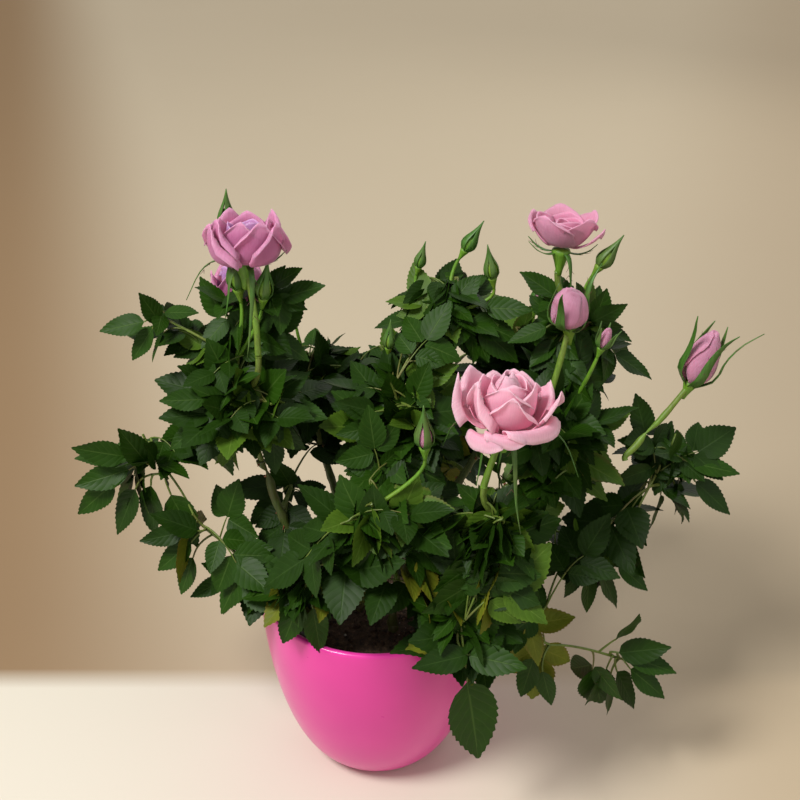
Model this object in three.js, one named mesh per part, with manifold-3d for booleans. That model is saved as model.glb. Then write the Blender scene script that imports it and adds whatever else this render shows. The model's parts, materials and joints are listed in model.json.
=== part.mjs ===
// A potted miniature rose: a glazed cover pot with a nursery pot and compost inside it, the canes that
// rise from the compost, the masses of foliage on them, and the flower stalks with their blooms and buds.
// Millimetres, +Z up. The origin is the centre of the pot's flat underside, and -Y is the plant's front.
import * as THREE from "three";
import { mergeVertices } from "three/addons/utils/BufferGeometryUtils.js";
import Module from "manifold-3d";

const wasm = await Module();
wasm.setup();

// Driving dimensions
const POT = { rimRadius: 65, footRadius: 31, height: 118, wall: 4, floor: 6, belly: 1.9 };
const LINER = { rimRadius: 54, footRadius: 40, height: 94, wall: 1.2, lip: 2.5 };
const COMPOST_TOP = 103;
const GAP = 0.35; // clearance between pieces that meet
const CANE_START = COMPOST_TOP - 6; // a cane is drawn from here and cut flat at the compost
const CANE = { footRadius: 4.2, tipRadius: 2.6, flare: 2.4 };
const BOUGH = { footRadius: 3.2, tipRadius: 1.9 };
const STALK = { footRadius: 1.9, tipRadius: 1.4 };
const MASS = {
  core: 0.86, // how much of its half sizes a mass fills between its lobes
  lobes: 9,
  lobeHeight: 0.24,
  bluntness: 7, // how fast a blunt lobe falls away to its sides
  sharpness: 11, // the same for a long lobe
  detail: 2,
};
const SIDES = { pot: 36, liner: 32, flower: 15, limb: 7 };
const POT_STEPS = 8; // rings up the cover pot's wall, closer together near its foot
const RING_SPACING = 9; // along a cane or stalk
const PETAL_WAVE = 0.05; // how far a flower's rim waves in and out, as a share of its radius

const colours = {
  glaze: { color: 0xe0569a, roughness: 0.22 },
  liner: { color: 0x15161a, roughness: 0.6 },
  compost: { color: 0x2a1d14, roughness: 0.95 },
  cane: { color: 0x56702a, roughness: 0.6 },
  stalk: { color: 0x6f8f35, roughness: 0.55 },
  foliage: { color: 0x2b4a1c, roughness: 0.6 },
  petal: { color: 0xe58db0, roughness: 0.65 },
  sepal: { color: 0x5c7a34, roughness: 0.6 },
};

const material = Object.fromEntries(
  Object.entries(colours).map(([name, look]) => [
    name,
    new THREE.MeshStandardMaterial({ name, ...look, metalness: 0 }),
  ]),
);

// A repeatable stream of numbers from 0 to 1.
function seededRandom(seed) {
  let state = seed * 2654435761;
  return () => {
    state = (state + 0x6d2b79f5) | 0;
    let t = Math.imul(state ^ (state >>> 15), 1 | state);
    t = (t + Math.imul(t ^ (t >>> 7), 61 | t)) ^ t;
    return ((t ^ (t >>> 14)) >>> 0) / 4294967296;
  };
}

// Between three.js geometry and closed solids
function solidOf(geometry) {
  const plain = new THREE.BufferGeometry().setAttribute("position", geometry.getAttribute("position").clone());
  if (geometry.index) plain.setIndex(geometry.index.clone());
  const merged = mergeVertices(plain, 1e-3);
  return new wasm.Manifold(
    new wasm.Mesh({
      numProp: 3,
      vertProperties: merged.attributes.position.array,
      triVerts: new Uint32Array(merged.index.array),
    }),
  );
}

function geometryOf(solid) {
  const mesh = solid.getMesh();
  const geometry = new THREE.BufferGeometry()
    .setAttribute("position", new THREE.BufferAttribute(new Float32Array(mesh.vertProperties), 3))
    .setIndex(new THREE.BufferAttribute(new Uint32Array(mesh.triVerts), 1));
  geometry.computeVertexNormals();
  return geometry;
}

function largestPiece(solid) {
  return solid.decompose().reduce((best, piece) => (piece.volume() > best.volume() ? piece : best));
}

// Revolved parts: LatheGeometry turns about Y, so each is stood up onto Z.
function turned(profile, sides) {
  return new THREE.LatheGeometry(
    profile.map(([radius, height]) => new THREE.Vector2(radius, height)),
    sides,
  ).rotateX(Math.PI / 2);
}

// The cover pot's outside: a rounded foot that swells into a nearly upright wall.
function bellyRadius(height, inset) {
  const low = POT.footRadius - inset;
  const high = POT.rimRadius - inset;
  const share = Math.min(1, Math.max(0, height / POT.height));
  return low + (high - low) * (1 - (1 - share) ** POT.belly) ** (1 / POT.belly);
}

function coverPot() {
  const steps = POT_STEPS;
  const rimRound = POT.wall / 2;
  const outside = Array.from({ length: steps + 1 }, (_, i) => {
    const height = (POT.height - rimRound) * (i / steps) ** 1.6;
    return [bellyRadius(height, 0), height];
  });
  const rim = Array.from({ length: 3 }, (_, i) => {
    const angle = (Math.PI * (i + 1)) / 4;
    return [
      POT.rimRadius - rimRound + rimRound * Math.cos(angle),
      POT.height - rimRound + rimRound * Math.sin(angle),
    ];
  });
  const inside = Array.from({ length: steps + 1 }, (_, i) => {
    const share = (1 - i / steps) ** 1.6;
    const height = POT.floor + (POT.height - rimRound - POT.floor) * share;
    return [bellyRadius(height, POT.wall), height];
  });
  return turned([[0, 0], ...outside, ...rim, ...inside, [0, POT.floor]], SIDES.pot);
}

const linerFoot = COMPOST_TOP + 4 - LINER.height;

// The thin nursery pot stands inside the cover pot, with a turned-out lip at its top.
function nurseryPot() {
  const top = linerFoot + LINER.height;
  const { rimRadius, footRadius, wall, lip } = LINER;
  return turned([
    [0, linerFoot],
    [footRadius, linerFoot],
    [rimRadius - lip, top - lip * 2],
    [rimRadius, top - lip * 2],
    [rimRadius, top],
    [rimRadius - lip - wall, top],
    [rimRadius - lip - wall, top - lip * 2],
    [footRadius - wall, linerFoot + wall],
    [0, linerFoot + wall],
  ], SIDES.liner);
}

function compost() {
  const { rimRadius, footRadius, wall, lip } = LINER;
  const bottom = linerFoot + wall + GAP;
  const topRadius = rimRadius - lip - wall - GAP * 2;
  return turned([
    [0, bottom],
    [footRadius - wall - GAP * 2, bottom],
    [topRadius - 1, COMPOST_TOP - 3],
    [topRadius - 9, COMPOST_TOP],
    [0, COMPOST_TOP],
  ], SIDES.liner);
}

// One tapering limb along a smooth curve: a cylinder whose rings are laid across the curve.
function limb(points, { footRadius, tipRadius, flare = 0 }) {
  const curve = new THREE.CatmullRomCurve3(points.map((p) => new THREE.Vector3(...p)));
  const rings = Math.max(4, Math.round(curve.getLength() / RING_SPACING));
  const frames = curve.computeFrenetFrames(rings);
  const geometry = new THREE.CylinderGeometry(1, 1, 1, SIDES.limb, rings);
  const position = geometry.getAttribute("position");
  const vertex = new THREE.Vector3();
  for (let i = 0; i < position.count; i++) {
    vertex.fromBufferAttribute(position, i);
    const ring = Math.round((vertex.y + 0.5) * rings);
    const share = ring / rings;
    const radius = footRadius + (tipRadius - footRadius) * share + flare * Math.exp(-share * 12);
    const place = curve.getPointAt(share);
    place.addScaledVector(frames.normals[ring], vertex.x * radius);
    place.addScaledVector(frames.binormals[ring], -vertex.z * radius);
    position.setXYZ(i, place.x, place.y, place.z);
  }
  return geometry;
}

// A mass of leaves: a sphere drawn out to three half sizes, with blunt lobes where sprays stand out and
// a longer lobe towards each point that it reaches.
function foliageMass({ at, half, reach = [], seed }) {
  const random = seededRandom(seed);
  const blunt = Array.from({ length: MASS.lobes }, () => {
    const height = random() * 2 - 1;
    const angle = random() * Math.PI * 2;
    const flat = Math.sqrt(1 - height * height);
    const way = new THREE.Vector3(flat * Math.cos(angle), flat * Math.sin(angle), height);
    return { way, rise: MASS.lobeHeight * (0.4 + random()), sharpness: MASS.bluntness };
  });
  const long = reach.map((point) => {
    const way = new THREE.Vector3(...point.map((value, i) => (value - at[i]) / half[i]));
    const rise = way.length() - MASS.core;
    return { way: way.normalize(), rise, sharpness: MASS.sharpness };
  });
  const lobes = [...blunt, ...long];
  const geometry = new THREE.IcosahedronGeometry(1, MASS.detail);
  const position = geometry.getAttribute("position");
  const way = new THREE.Vector3();
  for (let i = 0; i < position.count; i++) {
    way.fromBufferAttribute(position, i).normalize();
    const rises = lobes.map(({ rise, sharpness, way: lobeWay }) =>
      rise * Math.exp(sharpness * (way.dot(lobeWay) - 1)));
    way.multiplyScalar(MASS.core + Math.max(...rises));
    position.setXYZ(i, way.x * half[0], way.y * half[1], way.z * half[2]);
  }
  return geometry.translate(...at);
}

// Flowers are turned solids whose rim is drawn out into petals, set on their stalk's end and leant over.
function flower({ at, width, height, lean = [0, 0], petals = 5 }, outline) {
  const geometry = turned(outline.map(([r, h]) => [(r * width) / 2, h * height]), SIDES.flower);
  const position = geometry.getAttribute("position");
  for (let i = 0; i < position.count; i++) {
    const angle = Math.atan2(position.getY(i), position.getX(i));
    const wave = 1 + PETAL_WAVE * Math.cos(petals * angle);
    position.setXY(i, position.getX(i) * wave, position.getY(i) * wave);
  }
  return geometry
    .rotateX(THREE.MathUtils.degToRad(-lean[1]))
    .rotateY(THREE.MathUtils.degToRad(lean[0]))
    .translate(...at);
}

const BLOOM_OUTLINE = [
  [0, 0], [0.22, 0], [0.55, 0.12], [0.86, 0.34], [1, 0.62], [0.94, 0.86], [0.6, 1], [0, 0.94],
];
const BUD_OUTLINE = [
  [0, 0], [0.3, 0], [0.72, 0.16], [1, 0.42], [0.92, 0.66], [0.6, 0.88], [0.25, 0.98], [0, 1],
];

// Where everything stands. A cane, bough or stalk is given by the points that it passes through, a flower
// by its foot, and a mass by its middle, its half sizes and the points that it reaches.
const canes = {
  cane_left: [[-4, -7, CANE_START], [-18, -11, 117], [-35, -12, 136], [-50, -10, 170], [-62, -4, 212]],
  cane_centre: [[9, -24, CANE_START], [11, -27, 124], [13, -24, 150], [14, -10, 196]],
  cane_right: [[26, -8, CANE_START], [37, -11, 127], [47, -14, 152], [70, -10, 186]],
  cane_rear_left: [[-7, 12, CANE_START], [-18, 30, 132], [-32, 48, 176]],
  cane_rear_right: [[20, 14, CANE_START], [40, 36, 140], [66, 60, 176]],
};

const boughs = {
  bough_right_side: [[100, -20, 186], [122, -16, 203], [142, -10, 222], [160, -3, 245]],
};

const stalks = {
  stalk_upper_left: [[-58, -16, 240], [-56, -12, 262], [-57, -4, 286], [-61, 4, 308]],
  stalk_left_rear: [[-66, 26, 252], [-69, 33, 270]],
  stalk_upper_right: [[92, 30, 268], [95, 34, 301]],
  stalk_centre_right: [[86, -12, 232], [92, -8, 256], [97, -2, 277]],
  stalk_front: [[50, -56, 200], [56, -58, 232], [62, -62, 257]],
};

const blooms = {
  bloom_front: { at: [63, -64, 257], width: 49, height: 30, lean: [2, 14] },
  bloom_upper_left: { at: [-62, 4, 308], width: 38, height: 28, lean: [0, 2] },
  bloom_left_rear: { at: [-70, 34, 270], width: 30, height: 26, lean: [-4, 4] },
  bloom_upper_right: { at: [96, 35, 301], width: 35, height: 22, lean: [3, 0] },
};

const buds = {
  bud_centre_right: { at: [98, -1, 277], width: 18, height: 22, lean: [-4, 0] },
  bud_far_right: { at: [161, -2, 247], width: 16, height: 32, lean: [18, 0] },
};

const masses = {
  left_crown: { at: [-66, 2, 234], half: [42, 42, 40] },
  left_top: { at: [-66, 20, 282], half: [26, 18, 20], reach: [[-20, 12, 303]] },
  left_wing: { at: [-102, 8, 279], half: [18, 10, 9], reach: [[-125, 8, 263], [-76, 14, 278]] },
  left_side: { at: [-106, -2, 207], half: [34, 26, 22], reach: [[-157, 0, 190], [-146, -5, 158]] },
  left_low_spray: { at: [-92, -14, 162], half: [24, 12, 22], reach: [[-109, -15, 130], [-76, -6, 196]] },
  left_rim_spray: { at: [-76, -12, 132], half: [12, 11, 20], reach: [[-87, -15, 105], [-78, -12, 160]] },
  centre_crown: { at: [14, 2, 222], half: [44, 38, 38] },
  centre_front: { at: [8, -50, 196], half: [44, 26, 30] },
  right_rear_crown: { at: [50, 44, 262], half: [34, 30, 27], reach: [[22, 56, 291], [-8, 50, 261]] },
  right_top: { at: [96, 28, 262], half: [28, 28, 26], reach: [[74, 40, 297], [147, 15, 241]] },
  right_crown: { at: [96, -4, 212], half: [40, 38, 36], reach: [[128, 2, 238]] },
  right_side: { at: [154, 10, 192], half: [28, 20, 25], reach: [[183, 10, 147], [191, 8, 208], [136, 6, 232]] },
  right_low: { at: [110, -20, 156], half: [28, 24, 28], reach: [[143, -20, 144]] },
  right_hanging: {
    at: [126, -40, 102],
    half: [19, 8, 28],
    reach: [[149, -40, 62], [124, -45, 60], [118, -34, 142]],
  },
  right_front_low: { at: [85, -50, 132], half: [25, 16, 26], reach: [[75, -60, 73]] },
  left_cane_spray: { at: [-46, 14, 170], half: [20, 8, 17] },
  front_right: { at: [60, -56, 194], half: [30, 26, 30] },
  front_low: { at: [42, -66, 142], half: [38, 20, 24] },
  hanging_leaf: { at: [50, -86, 96], half: [15, 4.5, 24], reach: [[55, -85, 60], [46, -80, 134]] },
  front_left_low: { at: [-34, -48, 150], half: [33, 20, 18] },
  rear_left: { at: [-40, 72, 196], half: [40, 36, 36] },
  rear_centre: { at: [18, 96, 188], half: [42, 36, 42] },
  rear_right: { at: [84, 84, 204], half: [42, 36, 40] },
  rear_low: { at: [34, 80, 140], half: [44, 24, 22] },
};

// Two masses that would overlap are parted by a plane across the line between their centres.
function partMasses(solids) {
  const names = Object.keys(solids);
  names.forEach((a, i) =>
    names.slice(i + 1).forEach((b) => {
      if (solids[a].intersect(solids[b]).isEmpty()) return;
      const from = new THREE.Vector3(...masses[a].at);
      const across = new THREE.Vector3(...masses[b].at).sub(from);
      const reach = (half) => Math.cbrt(half[0] * half[1] * half[2]);
      const share = reach(masses[a].half) / (reach(masses[a].half) + reach(masses[b].half));
      const offset = from.addScaledVector(across, share).dot(across.normalize());
      const normal = across.toArray();
      const back = across.clone().negate().toArray();
      solids[a] = largestPiece(solids[a].trimByPlane(back, -offset + GAP / 2));
      solids[b] = largestPiece(solids[b].trimByPlane(normal, offset + GAP / 2));
    }),
  );
}

// A copy of a solid grown about its own centre by the clearance, for cutting what meets it.
function grown(solid) {
  const { min, max } = solid.boundingBox();
  const centre = min.map((low, i) => (low + max[i]) / 2);
  const scale = min.map((low, i) => 1 + (4 * GAP) / (max[i] - low));
  return solid
    .translate(centre.map((c) => -c))
    .scale(scale)
    .translate(centre);
}

function clearOf(solid, others) {
  const cut = others.reduce((left, other) => {
    const cutter = grown(other);
    return left.intersect(cutter).isEmpty() ? left : left.subtract(cutter);
  }, solid);
  return largestPiece(cut);
}

const root = new THREE.Group();
root.name = "potted_rose_bush";

function addPart(name, geometry, look, parent = root) {
  const mesh = new THREE.Mesh(geometry, material[look]);
  mesh.name = name;
  parent.add(mesh);
}

function addGroup(name, entries, look) {
  const group = new THREE.Group();
  group.name = name;
  root.add(group);
  for (const [part, solid] of Object.entries(entries)) addPart(part, geometryOf(solid), look, group);
}

const mapValues = (record, make) =>
  Object.fromEntries(Object.entries(record).map(([name, value], i) => [name, make(value, i)]));

addPart("cover_pot", coverPot(), "glaze");
addPart("nursery_pot", nurseryPot(), "liner");
addPart("compost", compost(), "compost");

const flowerSolids = (heads, outline) => mapValues(heads, (head) => solidOf(flower(head, outline)));
const bloomSolids = flowerSolids(blooms, BLOOM_OUTLINE);
const budSolids = flowerSolids(buds, BUD_OUTLINE);
const flowerHeads = [...Object.values(bloomSolids), ...Object.values(budSolids)];

const wholeMasses = mapValues(masses, (mass, i) => solidOf(foliageMass({ ...mass, seed: i + 1 })));
partMasses(wholeMasses);
const massSolids = mapValues(wholeMasses, (mass) => clearOf(mass, flowerHeads));

const surroundings = [...Object.values(massSolids), ...flowerHeads];
const limbSolids = (limbs, size) =>
  mapValues(limbs, (points) => clearOf(solidOf(limb(points, size)), surroundings));
const caneSolids = mapValues(limbSolids(canes, CANE), (cane) =>
  cane.trimByPlane([0, 0, 1], COMPOST_TOP + GAP));

addGroup("canes", caneSolids, "cane");
addGroup("boughs", limbSolids(boughs, BOUGH), "stalk");
addGroup("stalks", limbSolids(stalks, STALK), "stalk");
addGroup("foliage", massSolids, "foliage");
addGroup("blooms", bloomSolids, "petal");
addGroup("buds", budSolids, "sepal");

export default root;
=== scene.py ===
"""A potted miniature rose: a glazed cover pot, a nursery pot and compost, thorny canes, toothed compound
leaves grown by a seeded branching rule, and layered blooms and buds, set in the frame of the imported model."""

import json
import math
import random

import bmesh
import bpy
from bpy.props import FloatProperty, FloatVectorProperty, IntProperty, PointerProperty
from mathutils import Matrix, Vector, noise
from mathutils.bvhtree import BVHTree


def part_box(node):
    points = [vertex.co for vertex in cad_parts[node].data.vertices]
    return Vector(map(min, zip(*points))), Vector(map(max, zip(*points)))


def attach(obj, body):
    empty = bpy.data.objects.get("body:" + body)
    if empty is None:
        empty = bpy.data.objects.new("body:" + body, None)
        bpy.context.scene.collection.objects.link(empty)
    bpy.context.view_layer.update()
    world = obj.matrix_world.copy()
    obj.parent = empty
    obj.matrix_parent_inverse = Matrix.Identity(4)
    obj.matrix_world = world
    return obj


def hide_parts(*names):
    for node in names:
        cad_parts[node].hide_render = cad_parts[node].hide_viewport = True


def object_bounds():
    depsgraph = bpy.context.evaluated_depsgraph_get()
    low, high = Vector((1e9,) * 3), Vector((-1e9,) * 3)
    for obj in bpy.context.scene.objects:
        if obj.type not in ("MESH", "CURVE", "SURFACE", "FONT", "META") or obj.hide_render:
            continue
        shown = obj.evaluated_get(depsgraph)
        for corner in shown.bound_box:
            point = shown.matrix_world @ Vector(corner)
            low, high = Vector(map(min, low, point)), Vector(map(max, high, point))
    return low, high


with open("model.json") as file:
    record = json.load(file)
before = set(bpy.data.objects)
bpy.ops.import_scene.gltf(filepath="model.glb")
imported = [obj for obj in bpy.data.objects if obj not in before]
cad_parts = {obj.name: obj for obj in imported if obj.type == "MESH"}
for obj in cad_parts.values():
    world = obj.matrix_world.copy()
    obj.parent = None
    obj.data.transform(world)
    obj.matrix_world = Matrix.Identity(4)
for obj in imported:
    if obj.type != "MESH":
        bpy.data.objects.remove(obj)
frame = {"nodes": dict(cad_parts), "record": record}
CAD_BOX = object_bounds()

bl_info = {
    "name": "Potted rose bush",
    "version": (1, 0, 0),
    "blender": (4, 5, 0),
    "location": "3D View > Sidebar > Rose",
    "description": "Builds a potted miniature rose on its packed frame",
    "category": "Add Mesh",
}

MM = 0.001
UP = Vector((0, 0, 1))
NODES = [part["node"] for part in frame["record"]["subparts"]]
SLOT_OF = {part["node"]: part["material_slot"] for part in frame["record"]["subparts"]}
CANES = [name for name in NODES if SLOT_OF[name] == "cane"]
BOUGHS = [name for name in NODES if name.startswith("bough")]
STALKS = [name for name in NODES if name.startswith("stalk")]
MASSES = [name for name in NODES if SLOT_OF[name] == "foliage"]
FLOWERS = [name for name in NODES if name.startswith(("bloom", "bud"))]
BOXES = {name: tuple(Vector(corner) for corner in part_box(name)) for name in NODES}


def tone(code):
    """A linear colour from a six-digit colour code."""
    parts = (int(code[i : i + 2], 16) / 255 for i in (0, 2, 4))
    return tuple(c / 12.92 if c <= 0.04045 else ((c + 0.055) / 1.055) ** 2.4 for c in parts)


# ------------------------------------------------------------------------------------- small helpers


def mix(a, b, share):
    return a + (b - a) * share


def smooth(low, high, value):
    share = min(1.0, max(0.0, (value - low) / (high - low)))
    return share * share * (3 - 2 * share)


def bezier(points, share):
    """A point on the curve that a list of control points gives."""
    while len(points) > 1:
        points = [mix(a, b, share) for a, b in zip(points, points[1:])]
    return points[0]


def tapered(points, steps, thick, thin):
    """The line of a curved stem that tapers, as a list of (point, radius)."""
    shares = [step / steps for step in range(steps + 1)]
    return [(bezier(points, share), mix(thick, thin, share)) for share in shares]


def through(points, share):
    """A point on the smooth line that passes through every one of a list of points."""
    place = min(1.0, max(0.0, share)) * (len(points) - 1)
    index = min(len(points) - 2, int(place))
    t = place - index
    b, c = points[index], points[index + 1]
    a = points[index - 1] if index else b * 2 - c
    d = points[index + 2] if index + 2 < len(points) else c * 2 - b
    return (b * 2 + (c - a) * t + (a * 2 - b * 5 + c * 4 - d) * t**2 + (b * 3 - a - c * 3 + d) * t**3) / 2


def centre_of(node):
    return (BOXES[node][0] + BOXES[node][1]) / 2


def half_of(node):
    return (BOXES[node][1] - BOXES[node][0]) / 2


def any_way(rng):
    height = rng.uniform(-1, 1)
    angle = rng.uniform(0, math.tau)
    flat = math.sqrt(1 - height * height)
    return Vector((flat * math.cos(angle), flat * math.sin(angle), height))


def facing(along, normal, at):
    """The matrix that lays +Y along a direction, with +Z as near to a normal as it can be."""
    y = along.normalized()
    x = y.cross(normal).normalized()
    z = x.cross(y)
    return Matrix.Translation(at) @ Matrix((x, y, z)).transposed().to_4x4()


def finish_piece(name, bm, material, replaced=(), thickness=0.0, closed=False):
    """Turns a bmesh into a piece on the root body, with its place in its mesh."""
    if closed:
        bmesh.ops.remove_doubles(bm, verts=bm.verts, dist=1e-6)
        bmesh.ops.recalc_face_normals(bm, faces=bm.faces)
    mesh = bpy.data.meshes.new(name)
    bm.to_mesh(mesh)
    bm.free()
    mesh.shade_smooth()
    return place_piece(name, mesh, material, replaced, thickness)


def place_piece(name, mesh, material, replaced=(), thickness=0.0):
    mesh.name = name
    mesh.materials.clear()
    mesh.materials.append(material)
    piece = bpy.data.objects.new(name, mesh)
    bpy.context.scene.collection.objects.link(piece)
    if thickness:
        wall = piece.modifiers.new("thickness", "SOLIDIFY")
        wall.thickness = thickness
        wall.offset = -1
    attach(piece, "root")
    if replaced:
        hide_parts(*replaced)
    return piece


def grid(bm, across, along):
    """New vertices of a sheet, with x from -1 to 1 and y from 0 to 1, and the same as its UV map."""
    layer = bm.loops.layers.uv.get("UVMap") or bm.loops.layers.uv.new("UVMap")
    made = bmesh.ops.create_grid(bm, x_segments=across, y_segments=along, size=1)["verts"]
    for vertex in made:
        vertex.co.y = (vertex.co.y + 1) / 2
    for face in {face for vertex in made for face in vertex.link_faces}:
        for loop in face.loops:
            loop[layer].uv = (loop.vert.co.x / 2 + 0.5, loop.vert.co.y)
    return made


def turned(bm, profile, steps):
    """Spins a profile of (radius, height) about +Z and closes its seam."""
    verts = [bm.verts.new((radius, 0, height)) for radius, height in profile]
    edges = [bm.edges.new(pair) for pair in zip(verts, verts[1:])]
    bmesh.ops.spin(
        bm, geom=verts + edges, cent=(0, 0, 0), axis=UP, angle=math.tau, steps=steps, use_merge=True
    )
    bmesh.ops.remove_doubles(bm, verts=bm.verts, dist=1e-6)
    bmesh.ops.recalc_face_normals(bm, faces=bm.faces)


def tubes(name, lines, sides):
    """One mesh of many round tubes: each line is a list of (point, radius)."""
    curve = bpy.data.curves.new(name, "CURVE")
    curve.dimensions = "3D"
    curve.bevel_depth = 1
    curve.bevel_resolution = sides
    curve.use_fill_caps = True
    for line in lines:
        spline = curve.splines.new("POLY")
        spline.points.add(len(line) - 1)
        for point, (place, radius) in zip(spline.points, line):
            point.co = (*place, 1)
            point.radius = radius
    holder = bpy.data.objects.new(name, curve)
    mesh = bpy.data.meshes.new_from_object(holder)
    bpy.data.objects.remove(holder)
    bpy.data.curves.remove(curve)
    mesh.shade_smooth()
    return mesh


# ----------------------------------------------------------------------------------------- materials


class Nodes:
    """A short way to write a material's nodes."""

    def __init__(self, name, **sockets):
        self.material = bpy.data.materials.new(name)
        self.material.use_nodes = True
        self.tree = self.material.node_tree
        self.shader = self.tree.nodes["Principled BSDF"]
        for socket, value in sockets.items():
            self.shader.inputs[socket.replace("_", " ")].default_value = value

    def add(self, kind, links=(), **settings):
        made = self.tree.nodes.new("ShaderNode" + kind)
        for key, value in settings.items():
            if hasattr(made, key):
                setattr(made, key, value)
            else:
                made.inputs[key.replace("_", " ")].default_value = value
        for socket, source in dict(links).items():
            self.tree.links.new(source, made.inputs[socket])
        return made

    def link(self, source, socket):
        self.tree.links.new(source, self.shader.inputs[socket])

    def place(self):
        return self.add("TexCoord").outputs["Object"]

    def noise(self, scale, detail=3.0, roughness=0.5, where=None):
        links = {"Vector": where or self.place()}
        made = self.add("TexNoise", links, Scale=scale, Detail=detail, Roughness=roughness)
        return made.outputs["Fac"]

    def math(self, operation, a, b=0.0):
        made = self.add("Math", operation=operation)
        for index, value in enumerate((a, b)):
            if isinstance(value, (int, float)):
                made.inputs[index].default_value = value
            else:
                self.tree.links.new(value, made.inputs[index])
        return made.outputs[0]

    def ramp(self, value, *stops):
        """A colour ramp, from stops of (place, colour)."""
        made = self.add("ValToRGB", {"Fac": value})
        elements = made.color_ramp.elements
        while len(elements) < len(stops):
            elements.new(0.5)
        for element, (where, colour) in zip(elements, stops):
            element.position = where
            element.color = (*colour, 1)
        return made.outputs["Color"]

    def blend(self, share, a, b, kind="MIX"):
        made = self.add("Mix", data_type="RGBA", blend_type=kind)
        for index, value in ((0, share), (6, a), (7, b)):
            if isinstance(value, (int, float)):
                made.inputs[index].default_value = value
            elif isinstance(value, tuple):
                made.inputs[index].default_value = (*value, 1)
            else:
                self.tree.links.new(value, made.inputs[index])
        return made.outputs[2]

    def pick(self, value, low, high, top=1.0, kind="LINEAR"):
        """0 up to a low value and a top share from a high one on, rising between them."""
        made = self.add(
            "MapRange", {"Value": value}, From_Min=low, From_Max=high, To_Max=top, interpolation_type=kind)
        return made.outputs["Result"]

    def off_middle(self, across):
        """How far a place on a blade is from its middle line, from 0 to 1 at its margin."""
        return self.math("ABSOLUTE", self.math("MULTIPLY", self.math("SUBTRACT", across, 0.5), 2))

    def span(self, value, low, high):
        """Spreads a value from 0 to 1 between two numbers."""
        made = self.add("MapRange", {"Value": value}, To_Min=low, To_Max=high)
        return made.outputs["Result"]

    def bump(self, height, strength, distance):
        made = self.add("Bump", {"Height": height}, Strength=strength, Distance=distance)
        self.link(made.outputs["Normal"], "Normal")


SIDE_VEINS = 7  # pairs of side veins on a leaflet


def scaled(colour, share):
    return tuple(min(1.0, channel * share) for channel in colour)


def glaze_material(colour):
    nodes = Nodes("pink_glaze", Coat_Weight=0.25, Coat_Roughness=0.1, Specular_IOR_Level=0.35)
    cloud = nodes.noise(18, 2)
    nodes.link(nodes.ramp(cloud, (0.3, scaled(colour, 0.94)), (0.7, scaled(colour, 1.05))), "Base Color")
    nodes.link(nodes.span(nodes.noise(60, 4), 0.24, 0.36), "Roughness")
    nodes.bump(nodes.noise(260, 2), 0.05, 0.0004)
    return nodes.material


def liner_material():
    nodes = Nodes("black_plastic")
    dust = nodes.noise(220, 5, 0.7)
    colour = nodes.ramp(dust, (0.45, (0.008, 0.008, 0.009)), (0.8, (0.05, 0.04, 0.032)))
    nodes.link(colour, "Base Color")
    nodes.link(nodes.span(nodes.noise(90), 0.35, 0.65), "Roughness")
    nodes.bump(dust, 0.2, 0.0003)
    return nodes.material


def compost_material():
    nodes = Nodes("moist_compost")
    crumb = nodes.noise(420, 6, 0.7)
    patch = nodes.noise(60, 3)
    dark = nodes.ramp(crumb, (0.35, (0.016, 0.009, 0.005)), (0.55, (0.10, 0.055, 0.028)),
                      (0.75, (0.30, 0.19, 0.11)))
    nodes.link(nodes.blend(nodes.span(patch, 0.0, 0.5), dark, (0.02, 0.012, 0.008)), "Base Color")
    nodes.link(nodes.span(crumb, 0.75, 1.0), "Roughness")
    nodes.bump(crumb, 0.9, 0.0012)
    return nodes.material


def perlite_material():
    nodes = Nodes("perlite")
    pores = nodes.noise(900, 4, 0.7)
    nodes.link(nodes.ramp(pores, (0.3, (0.20, 0.17, 0.13)), (0.7, (0.52, 0.49, 0.43))), "Base Color")
    nodes.link(nodes.span(pores, 0.7, 0.95), "Roughness")
    nodes.bump(pores, 0.5, 0.0004)
    return nodes.material


def bark_material(name, green, flush, streaks=0.5):
    """Smooth green rind, flushed with red or brown in patches and finely ribbed along the stem."""
    nodes = Nodes(name)
    patch = nodes.noise(45, 4, 0.6)
    stretch = nodes.add("Mapping", {"Vector": nodes.place()}, Scale=(1, 1, 0.12)).outputs[0]
    rib = nodes.noise(900, 3, 0.6, stretch)
    rind = nodes.ramp(rib, (0.3, scaled(green, 0.7)), (0.7, scaled(green, 1.25)))
    share = nodes.math("MULTIPLY", nodes.pick(patch, 0.48, 0.72), streaks)
    nodes.link(nodes.blend(share, rind, flush), "Base Color")
    nodes.link(nodes.span(patch, 0.38, 0.6), "Roughness")
    nodes.bump(rib, 0.4, 0.0004)
    return nodes.material


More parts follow.
